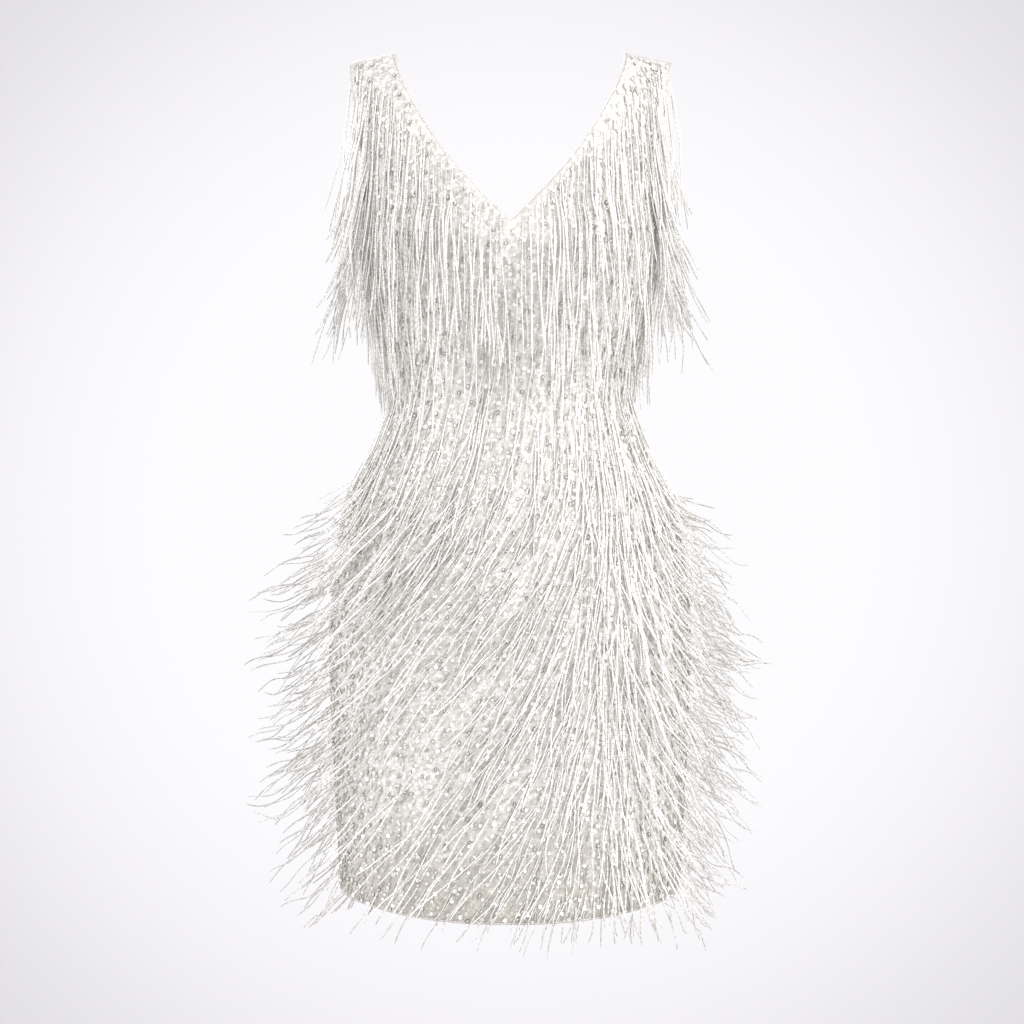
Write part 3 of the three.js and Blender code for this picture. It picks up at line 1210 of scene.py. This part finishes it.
KNOT = 0.0006  # how far off the cloth a strand starts
HEM_CLEAR = 0.004  # how far above the hem the last row may be


@dataclass
class FringeTier:
    """One tier of rows of strands on the front or back."""

    tier: str
    cut: Cut
    top: float
    bottom: float
    row: float = 0.0125
    pitch: float = 0.0092
    length: float = 0.100
    seed: int = 1

    def build(self, finish: bpy.types.Material) -> bpy.types.Object:
        """Build the tier's strands.

        Args:
            finish: The beads' material.

        Returns:
            The tier.
        """
        rng = np.random.default_rng(self.seed)
        turn, down = self.roots(rng)
        root = FORM.cloth_point(turn, down, KNOT)
        normal = FORM.normal(turn, down)
        x, z = root[:, 0], FORM.height(down)
        count = len(x)
        # Where each is: low on the dress, at the sides of the hips, on a side seam, at the waist.
        low = smoothstep(-z, 0.300, 0.480)
        lean = sweep(x, z, self.cut.side) + rng.normal(0, 1, count) * (0.035 + 0.15 * low)
        edge = smoothstep(np.abs(x), 0.110, 0.170) * smoothstep(-z, 0.345, 0.425)
        seam = (1 - smoothstep(np.abs(root[:, 1]), 0.015, 0.065)) * low
        hangs = rng.uniform(0, 1, count) < 0.55 * seam
        lean = np.where(hangs, 0.30 * lean, lean)
        waist = np.exp(-(((z + 0.300) / 0.070) ** 2)) * smoothstep(np.abs(x), 0.060, 0.120)
        lift = (0.02 + 0.06 * rng.uniform(0, 1, count)) * (1 - waist) + 0.16 * edge
        forward = rng.normal(0, 0.28, count) * seam
        way = np.stack([lean, forward, np.full(count, -1.0)], axis=1) + normal * lift[:, None]
        # They are shorter at the sides, at the waist and near the hem.
        shares = rng.uniform(0.70 - 0.25 * edge, 1.12 - 0.08 * edge, count)
        length = self.length * shares * (1 - 0.20 * waist)
        length *= 1 - 0.55 * smoothstep(-z, 0.735, 0.829) * (1 - 0.5 * edge)
        length *= 1 - 0.45 * edge * (1 - smoothstep(-z, 0.390, 0.500))
        # Their tips turn out over the hips, most above the thigh.
        outward = np.sign(x) * edge
        upper = 1 - smoothstep(-z, 0.560, 0.720)
        flick = np.zeros((count, 3))
        flick[:, 0] = outward * rng.uniform(-0.15, 0.55 + 0.35 * upper, count)
        flick[:, 2] = rng.uniform(-0.45, 0.25, count) * (0.2 + 0.8 * edge)
        flick[:, 2] += 0.15 * edge * upper
        clear = (rng.uniform(0.0006, 0.0060, count) + 0.003 * edge) * (1 - 0.7 * waist)
        side = self.cut.side.name.lower()
        strands = Strands(f"{self.tier}_strands_{side}", (f"{self.tier}_fringe_{side}",))
        wave = 0.05 + 0.06 * float(low.mean())
        paths = strands.lay(root, unit(way), length, clear, flick, wave, rng)
        # Some are threaded with clear beads, at random. Fewer of them on the wearer's left, the side
        # the key light comes from, is painted light.
        dull = rng.uniform(0, 1, count) < 0.48 - 0.38 * smoothstep(x, 0.020, 0.120) * low
        tone = np.where(dull, 0.48, 0.80) + 0.11 * rng.normal(0, 1, count)
        piece = strands.build(paths, np.clip(tone, 0.3, 1), finish, rng)
        LOG.info("%s: %d strands", piece.name, count)
        return piece

    def roots(self, rng: np.random.Generator) -> tuple[Array, Array]:
        """Choose where strands are sewn on: in rows, and along the neckline in the yoke.

        Args:
            rng: The source of chance.

        Returns:
            The places' turns and distances down.
        """
        bottom = max(self.bottom, FORM.hem + HEM_CLEAR)
        turn, down = sown(self.cut, self.top, bottom, self.row, self.pitch, 0.38, rng)
        place = FORM.point(turn, down)
        keep = rng.uniform(0, 1, len(turn)) < self.crowd(place[:, 0], FORM.height(down))
        turn, down = turn[keep], down[keep]
        if self.tier != "yoke":
            return turn, down
        along_neck = np.arange(self.cut.v_point + 0.004, -0.012, 0.0068)
        z = np.repeat(along_neck, 2) + rng.uniform(-0.002, 0.002)
        neck = np.minimum(FORM.neck_turn(z, self.cut.v_point), RIGHT_ANGLE) - 0.035
        neck = np.where(np.arange(len(z)) % 2 == 0, neck, math.pi - neck) * self.cut.side.value
        return np.concatenate([turn, neck]), np.concatenate([down, FORM.down(z)])

    def crowd(self, x: Array, z: Array) -> Array:
        """The share of places that carry a strand.

        Args:
            x: Where the places are across the dress.
            z: Their heights.

        Returns:
            The shares: least low on the right front, and most beside the parting.
        """
        hips = smoothstep(-z, 0.360, 0.430)
        sides = 1 - np.where(x < 0, 0.48, 0.40) * smoothstep(np.abs(x), 0.120, 0.165) * hips
        sides += 0.45 * smoothstep(np.abs(x), 0.158, 0.176) * hips
        low = smoothstep(-z, 0.300, 0.430)
        if self.cut.side is Side.BACK:
            return (0.36 + 0.18 * low + 0.16 * smoothstep(np.abs(x), 0.050, 0.100) * low) * sides
        sparse = smoothstep(-x, -0.060, 0.060) * smoothstep(-z, 0.470, 0.600)
        sparse *= 1 - smoothstep(np.abs(x), 0.120, 0.160)
        band = smoothstep(-z, 0.300, 0.400) * (1 - smoothstep(-z, 0.640, 0.740))
        dense = smoothstep(x, 0.040, 0.090) * band
        strap = 1 - smoothstep(-z, 0.070, 0.130)
        bust = np.exp(-(((np.abs(x) - 0.068) / 0.036) ** 2))
        bust *= np.exp(-(((z + 0.172) / 0.022) ** 2))
        share = (0.36 + 0.24 * low - 0.44 * sparse) * sides + 0.45 * dense * sides
        share = share + 0.30 * strap + 0.45 * bust
        return np.clip(share, 0, 1)


@dataclass
class ShoulderFringe:
    """The strands sewn along a strap's outer edge and the armhole, falling over the upper arm."""

    left: bool
    count: int = 88
    seed: int = 5

    def build(self, finish: bpy.types.Material) -> bpy.types.Object:
        """Build the strands.

        Args:
            finish: The beads' material.

        Returns:
            The fringe.
        """
        rng = np.random.default_rng(self.seed + self.left)
        z = -0.004 - 0.150 * rng.uniform(0, 1, self.count) ** 0.9
        beside = FORM.arm_turn(z) + rng.uniform(0.0, 0.14, self.count)
        turn = beside * np.where(rng.uniform(0, 1, self.count) < 0.55, 1, -1)
        if not self.left:
            turn = np.sign(turn) * (math.pi - np.abs(turn))
        root = FORM.cloth_point(turn, FORM.down(z), KNOT)
        outwards = 1.0 if self.left else -1.0
        low = smoothstep(-z, 0.020, 0.150)
        lean = (rng.uniform(0.04, 0.19, self.count) + 0.07 * low) * outwards
        forward = rng.uniform(-0.08, 0.18, self.count) * np.where(turn > 0, -1, 1)
        way = np.stack([lean, forward, np.full(self.count, -1.0)], axis=1)
        length = rng.uniform(0.100, 0.155, self.count) * (1 + 0.12 * low)
        flick = np.zeros((self.count, 3))
        flick[:, 0] = outwards * rng.uniform(-0.15, 0.20 + 0.35 * low, self.count)
        flick[:, 1] = rng.normal(0, 0.15, self.count)
        word = "left" if self.left else "right"
        nodes = (f"shoulder_fringe_{word}",)
        strands = Strands(f"shoulder_strands_{word}", nodes, loose_end_shade=0.60, radius=0.00082)
        clear = rng.uniform(0.001, 0.007, self.count)
        paths = strands.lay(root, unit(way), length, clear, flick, 0.10, rng)
        tone = np.clip(0.82 + 0.15 * rng.normal(0, 1, self.count), 0.3, 1)
        piece = strands.build(paths, tone, finish, rng)
        LOG.info("%s: %d strands", piece.name, self.count)
        return piece


# ---------------------------------------------------------------- beads sewn flat


@dataclass
class Places:
    """Where and how small things are sewn on, with a row of each array for each of them."""

    turn: Array
    down: Array
    size: Array  # as a share of the pattern
    spin: Array  # about the cloth's normal, 0 being straight down
    tone: Array  # how much lighter than the pattern
    tilt: Array  # how far it leans off the cloth, (n, 2)


@dataclass(frozen=True)
class Sewn:
    """Small things of one kind that are sewn flat all over the cloth."""

    name: str
    slot: str
    pattern: Pattern
    row: float  # between rows
    pitch: float  # between places in a row
    height: float  # of the pattern's origin off the cloth
    lean: float = 0.0  # how far they tilt by chance
    smooth: bool = False
    strays: float | None = None  # how far they stray from the strands' way; None faces any way

    def spread(self, cut: Cut, rng: np.random.Generator) -> Places:
        """Choose where and how each is sewn on.

        Args:
            cut: The panel that they are on.
            rng: The source of chance.

        Returns:
            Their places.
        """
        turn, down = sown(cut, -0.004, FORM.hem + HEM_CLEAR, self.row, self.pitch, 0.42, rng)
        count = len(turn)
        spin = rng.uniform(0, 2 * math.pi, count)
        if self.strays is not None:
            x, z = FORM.point(turn, down)[:, 0], FORM.height(down)
            spin = np.arctan(sweep(x, z, cut.side)) + rng.normal(0, self.strays, count)
        tilt = rng.normal(0, self.lean, (count, 2))
        size = rng.uniform(0.82, 1.15, count)
        return Places(turn, down, size, spin, rng.normal(0, 0.17, count), tilt)

    def build(self, cut: Cut, at: Places, finish: bpy.types.Material) -> bpy.types.Object:
        """Sew one on at each place.

        Args:
            cut: The panel that they are on.
            at: Their places.
            finish: The material.

        Returns:
            All of them as one piece.
        """
        shape, corners_of, face_tone = self.pattern
        count, per = len(at.turn), len(shape)
        normal = FORM.normal(at.turn, at.down)
        level = unit(np.stack([-normal[:, 1], normal[:, 0], np.zeros(count)], axis=1))
        if cut.side is Side.BACK:
            level = -level
        fall = unit(np.cross(level, normal))
        fall *= np.where(fall[:, 2:] > 0, -1, 1)
        long = fall * np.cos(at.spin)[:, None] + level * np.sin(at.spin)[:, None]
        sideways = unit(np.cross(normal, long))
        up = unit(normal + long * at.tilt[:, :1] + sideways * at.tilt[:, 1:])
        wide = unit(np.cross(long, up))
        long = unit(np.cross(up, wide))
        centre = FORM.cloth_point(at.turn, at.down, self.height)
        local = shape[None] * at.size[:, None, None]
        placed = (
            centre[:, None]
            + wide[:, None] * local[:, :, :1]
            + long[:, None] * local[:, :, 1:2]
            + up[:, None] * local[:, :, 2:]
        )
        faces = [tuple(i + per * n for i in face) for n in range(count) for face in corners_of]
        name = f"{self.name}_{cut.side.name.lower()}"
        piece = mesh_object(name, placed.reshape(-1, 3), faces, finish, self.smooth)
        shade = np.clip(face_tone[None] + at.tone[:, None], 0, 1)
        store(piece, "tone", "FACE", shade.ravel())
        self._lay_flat(piece, count)
        LOG.info("%s: %d", piece.name, count)
        return piece

    def _lay_flat(self, piece: bpy.types.Object, count: int) -> None:
        """Lay every one in its own square of the flat layout.

        Args:
            piece: All of them.
            count: How many there are.
        """
        shape, faces, _ = self.pattern
        cells = math.ceil(math.sqrt(count))
        origin = np.stack([np.arange(count) % cells, np.arange(count) // cells], axis=1) / cells
        reach = np.abs(shape[:, :2]).max() * 2.3
        flat = (shape[:, :2] / reach + 0.5) / cells
        corners = np.concatenate([np.array(face) for face in faces])
        store_atlas(piece, (origin[:, None] + flat[corners][None]).reshape(-1, 2))


def circle(count: int, radius: float, height: float) -> Array:
    """Points round a level circle.

    Args:
        count: How many.
        radius: Its radius.
        height: Its height.

    Returns:
        The points, (count, 3).
    """
    angle = np.linspace(0, 2 * math.pi, count, endpoint=False)
    x, y = radius * np.cos(angle), radius * np.sin(angle)
    return np.stack([x, y, np.full(count, height)], axis=1)


def sequin_pattern(radius: float = 0.0021, facets: int = 6) -> Pattern:
    """A cupped sequin with a raised rim.

    Args:
        radius: Its radius.
        facets: How many sides it has.

    Returns:
        Its points, its faces and each face's tone.
    """
    rims = [circle(facets, radius, 0.0006), circle(facets, radius, 0.0002)]
    points = np.concatenate([*rims, [[0, 0, 0.0003]], [[0, 0, 0.0]]])
    top, bottom = 2 * facets, 2 * facets + 1
    faces: Faces = []
    tone: list[float] = []
    for i in range(facets):
        j = (i + 1) % facets
        faces += [(i, j, top), (facets + j, facets + i, bottom), (i, facets + i, facets + j, j)]
        # Painted light: the top facets lighter and darker by turns, as glints round the cup, and the
        # rim and underside darker, as painted shade.
        tone += [0.55 + 0.25 * math.sin(i * 1.7), 0.25, 0.25]
    return points, faces, np.array(tone)


def stone_pattern(radius: float = 0.0018, facets: int = 6, longer: float = 1.45) -> Pattern:
    """A faceted stone in a ring-shaped cup.

    Args:
        radius: Half the cup's width.
        facets: How many sides it has.
        longer: Its length, as a multiple of its width.

    Returns:
        Its points, its faces and each face's tone.
    """
    cup = [circle(facets, radius, 0.0), circle(facets, radius, 0.0010)]
    stone = [circle(facets, radius * 0.62, 0.0007), circle(facets, radius * 0.34, 0.0016)]
    points = np.concatenate([*cup, *stone, [[0, 0, 0.0017]], [[0, 0, 0]]])
    points[:, 1] *= longer
    faces: Faces = []
    tone: list[float] = []
    for i in range(facets):
        j = (i + 1) % facets
        for ring in range(3):
            low, high = ring * facets, (ring + 1) * facets
            faces.append((low + i, low + j, high + j, high + i))
            # The cup's wall and rim keep their own grey; the stone's sides are painted lighter and
            # darker by turns and its top facet brightest, as a painted sparkle.
            tone.append([0.12, 0.20, 0.65 + 0.30 * math.sin(i * 2.3)][ring])
        faces += [(3 * facets + i, 3 * facets + j, 4 * facets), (j, i, 4 * facets + 1)]
        tone += [1.0, 0.0]
    return points, faces, np.array(tone)


def pearl_pattern(radius: float = 0.0014, around: int = 8, tall: int = 5) -> Pattern:
    """A round pearl.

    Args:
        radius: Its radius.
        around: How many sides it has.
        tall: How many rows of faces it has.

    Returns:
        Its points, its faces and each face's tone.
    """
    angles = [math.pi * r / tall for r in range(1, tall)]
    rings = [circle(around, radius * math.sin(a), -radius * math.cos(a)) for a in angles]
    points = np.concatenate([*rings, [[0, 0, -radius]], [[0, 0, radius]]])
    faces: Faces = []
    last, pole = (tall - 2) * around, (tall - 1) * around
    for i in range(around):
        j = (i + 1) % around
        lows = [r * around for r in range(tall - 2)]
        faces += [(low + i, low + j, low + around + j, low + around + i) for low in lows]
        faces += [(j, i, pole), (last + i, last + j, pole + 1)]
    return points, faces, np.full(len(faces), 0.5)


def bugle_pattern(length: float = 0.0062, radius: float = 0.00072, facets: int = 4) -> Pattern:
    """A short bugle bead, which lies along its length.

    Args:
        length: Its length.
        radius: Its radius.
        facets: How many sides it has.

    Returns:
        Its points, its faces and each face's tone.
    """
    angle = np.linspace(0, 2 * math.pi, facets, endpoint=False) + math.pi / facets
    ring = np.stack([radius * np.cos(angle), np.zeros(facets), radius * np.sin(angle)], axis=1)
    shift = np.array([0, length / 2, 0])
    points = np.concatenate([ring - shift, ring + shift])
    sides = [(i, (i + 1) % facets) for i in range(facets)]
    faces: Faces = [(i, facets + i, facets + j, j) for i, j in sides]
    faces += [tuple(range(facets)), tuple(range(2 * facets - 1, facets - 1, -1))]
    # Painted light and shade on each bugle's faces: one long side lightest (on the front it faces
    # the wearer's left and the key light), the top and underside a little darker, the other long
    # side darker and the ends darkest.
    return points, faces, np.array([0.75, 1.0, 0.75, 0.6, 0.5, 0.5])


@dataclass
class Beadwork:
    """Everything sewn flat on the cloth between the strands."""

    seed: int = 11

    def build(self) -> list[bpy.types.Object]:
        """Sew sequins, stones, pearls and short bugles on both sides.

        Returns:
            The pieces.
        """
        rng = np.random.default_rng(self.seed)
        sequins = Sewn("sequins", "sequins", sequin_pattern(), 0.0135, 0.0125, 0.0009, lean=0.16)
        stones = Sewn(
            "set_stones",
            "crystals",
            stone_pattern(),
            0.0165,
            0.0150,
            0.0003,
            lean=0.10,
            strays=0.55,
        )
        pearls = Sewn("pearls", "pearls", pearl_pattern(), 0.0250, 0.0230, 0.0014, smooth=True)
        bugles = Sewn(
            "short_bugles", "beads", bugle_pattern(), 0.0074, 0.0082, 0.0009, lean=0.06, strays=0.22
        )
        kinds = (
            (sequins, PEARL_SEQUIN.build()),
            (stones, SET_STONE.build()),
            (pearls, DIPPED_PEARL.build()),
            (bugles, SHORT_BUGLE_GLASS.build()),
        )
        made: list[bpy.types.Object] = []
        for cut in CUTS.values():
            for kind, finish in kinds:
                made.append(kind.build(cut, kind.spread(cut, rng), finish))
        return made


# ---------------------------------------------------------------- stage


@dataclass
class Studio:
    """A pale floor, soft lights and the camera."""

    floor: float = -1.38  # where the wearer's feet would be
    floor_radius: float = 1.45
    floor_fades: float = 0.35  # how far out it starts to fade
    floor_sides: int = 96
    lens_mm: float = 100.0
    camera: Point = (0.002, -2.844, -0.452)

    def build(self) -> None:
        """Build the stage, the lights and the camera."""
        self._floor()
        self._world()
        self._light("key", (1.7, -1.4, 0.2), (0.14, 0.0, -0.34), 1.1, 36.0)
        self._light("fill", (-1.9, -1.4, 0.3), (-0.12, 0.0, -0.34), 1.5, 27.0)
        self._light("front", (0.1, -3.2, 0.9), (0.0, 0.0, -0.30), 1.5, 19.0)
        self._light("rim", (-0.8, 2.6, 0.7), (0.0, 0.0, -0.4), 1.8, 42.0)
        view = bpy.data.cameras.new("camera")
        view.lens = self.lens_mm
        view.sensor_width = 36.0
        camera = bpy.data.objects.new("camera", view)
        camera.location = self.camera
        camera.rotation_euler = (math.radians(90), 0, 0)
        bpy.context.scene.collection.objects.link(camera)
        bpy.context.scene.camera = camera
        bpy.context.scene.view_settings.view_transform = "Standard"

    def _floor(self) -> None:
        """Lay a round floor that fades out towards its edge."""
        count = self.floor_sides
        rim = circle(count, self.floor_radius, self.floor)
        points = np.concatenate([rim, [[0, 0, self.floor]]])
        faces = [(i, (i + 1) % count, count) for i in range(count)]
        data = bpy.data.meshes.new("floor")
        data.from_pydata(points.tolist(), [], faces)
        material, tree, shader = new_material("pale_painted_board")
        shader.inputs["Base Color"].default_value = linear("EEEDEE")
        shader.inputs["Roughness"].default_value = 0.8
        place = add_node(tree, "ShaderNodeTexCoord")
        flat = add_node(
            tree,
            "ShaderNodeVectorMath",
            {"operation": "MULTIPLY", 1: (1, 1, 0)},
            {0: place.outputs["Object"]},
        )
        far = add_node(tree, "ShaderNodeVectorMath", {"operation": "LENGTH"}, {0: flat.outputs[0]})
        fading = {1: self.floor_fades, 2: self.floor_radius, 3: 1.0, 4: 0.0}
        fade = add_node(
            tree,
            "ShaderNodeMapRange",
            {"interpolation_type": "SMOOTHSTEP", **fading},
            {0: far.outputs["Value"]},
        )
        tree.links.new(fade.outputs[0], shader.inputs["Alpha"])
        data.materials.append(material)
        floor = bpy.data.objects.new("floor", data)
        bpy.context.scene.collection.objects.link(floor)
        floor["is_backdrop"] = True

    def _world(self) -> None:
        """Surround the dress with near-white light, a little greyer to its sides."""
        world = bpy.data.worlds.new("studio")
        bpy.context.scene.world = world
        world.use_nodes = True
        tree = world.node_tree
        tree.nodes.clear()
        place = add_node(tree, "ShaderNodeTexCoord")
        parts = add_node(tree, "ShaderNodeSeparateXYZ", links={0: place.outputs["Generated"]})
        depth = add_node(
            tree, "ShaderNodeMath", {"operation": "ABSOLUTE"}, {0: parts.outputs["Y"]}
        )
        tint = ramp(
            add_node(tree, "ShaderNodeValToRGB", links={"Fac": depth.outputs[0]}),
            [(0.962, "DCDADE"), (0.974, "E7E5E9"), (0.986, "F8F6F9"), (0.993, "FDFCFE")],
        )
        light = add_node(
            tree, "ShaderNodeBackground", {"Strength": 1.0}, {"Color": tint.outputs["Color"]}
        )
        add_node(tree, "ShaderNodeOutputWorld", links={"Surface": light.outputs[0]})

    def _light(self, name: str, at: Point, aim: Point, size: float, watts: float) -> None:
        """Set up one square soft light.

        Args:
            name: Its name.
            at: Where it stands.
            aim: What it points at.
            size: The length of its side.
            watts: Its power.
        """
        data = bpy.data.lights.new(name, "AREA")
        data.size = size
        data.energy = watts
        lamp = bpy.data.objects.new(name, data)
        lamp.location = at
        lamp.rotation_euler = (Vector(aim) - Vector(at)).to_track_quat("-Z", "Y").to_euler()
        bpy.context.scene.collection.objects.link(lamp)


# ---------------------------------------------------------------- the dress


TIER_EDGES = {
    Side.FRONT: (0.0, -0.215, -0.327, -0.430, -0.535, -0.640, -0.745, -0.829),
    Side.BACK: (0.0, -0.250, -0.327, -0.430, -0.535, -0.640, -0.745, -0.829),
}
TIER_NAMES = ("yoke", "bust", "waist", "high_hip", "hip", "thigh", "hem")
YOKE_LENGTH = 0.142  # of its longer strands
HEM_STEPS = 180  # round the hem's binding


def build_bindings(satin: bpy.types.Material) -> list[bpy.types.Object]:
    """Bind the neckline, the armholes and the hem.

    Args:
        satin: The bindings' material.

    Returns:
        The four bindings.
    """
    made = [RolledEdge("neck_binding").build(*neck_line(), satin)]
    for left, word in ((True, "left"), (False, "right")):
        made.append(RolledEdge(f"armhole_binding_{word}").build(*armhole_line(left), satin))
    around = np.linspace(-math.pi, math.pi, HEM_STEPS, endpoint=False)
    down = np.full(HEM_STEPS, float(FORM.down(FORM.hem)))
    made.append(RolledEdge("hem_binding", upright=True).build(around, down, satin))
    return made


def build_tiers(side: Side, beads: bpy.types.Material) -> list[bpy.types.Object]:
    """Hang every tier of fringe on one side.

    Args:
        side: The half that they are on.
        beads: The strands' material.

    Returns:
        The tiers, from the yoke down.
    """
    made = []
    edges = TIER_EDGES[side]
    for n, name in enumerate(TIER_NAMES):
        tier = FringeTier(name, CUTS[side], edges[n], edges[n + 1])
        tier.seed = 20 * n + (1 if side is Side.FRONT else 2)
        if name == "yoke":
            tier.length = YOKE_LENGTH
        made.append(tier.build(beads))
    return made


def main() -> None:
    """Build the stage and the dress, piece by piece."""
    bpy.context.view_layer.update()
    Studio().build()

    tulle = BeadedTulle().build()
    backing = SatinBacking().build()
    satin = RolledSatin().build()
    beads = BUGLE_GLASS.build()

    trims = build_bindings(satin)
    LOG.info("bindings: %d", len(trims))
    tiers = {side: build_tiers(side, beads) for side in TIER_EDGES}
    shoulders = [ShoulderFringe(left).build(beads) for left in (True, False)]
    sewn = Beadwork().build()

    for side, cut in CUTS.items():
        panel = GroundPanel(cut).build(tulle, backing)
        area = sum(face.area for face in panel.data.polygons) / 2
        LOG.info("%s: one face is %.4f square metres", cut.node, area)
        sewn_to_it = tiers[side] + [p for p in sewn if p.name.endswith(side.name.lower())]
        if side is Side.FRONT:
            sewn_to_it += trims + shoulders

    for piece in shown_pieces():
        piece.data.calc_loop_triangles()
        LOG.info("%s: %d triangles", piece.name, len(piece.data.loop_triangles))


if __name__ == "__main__":
    main()
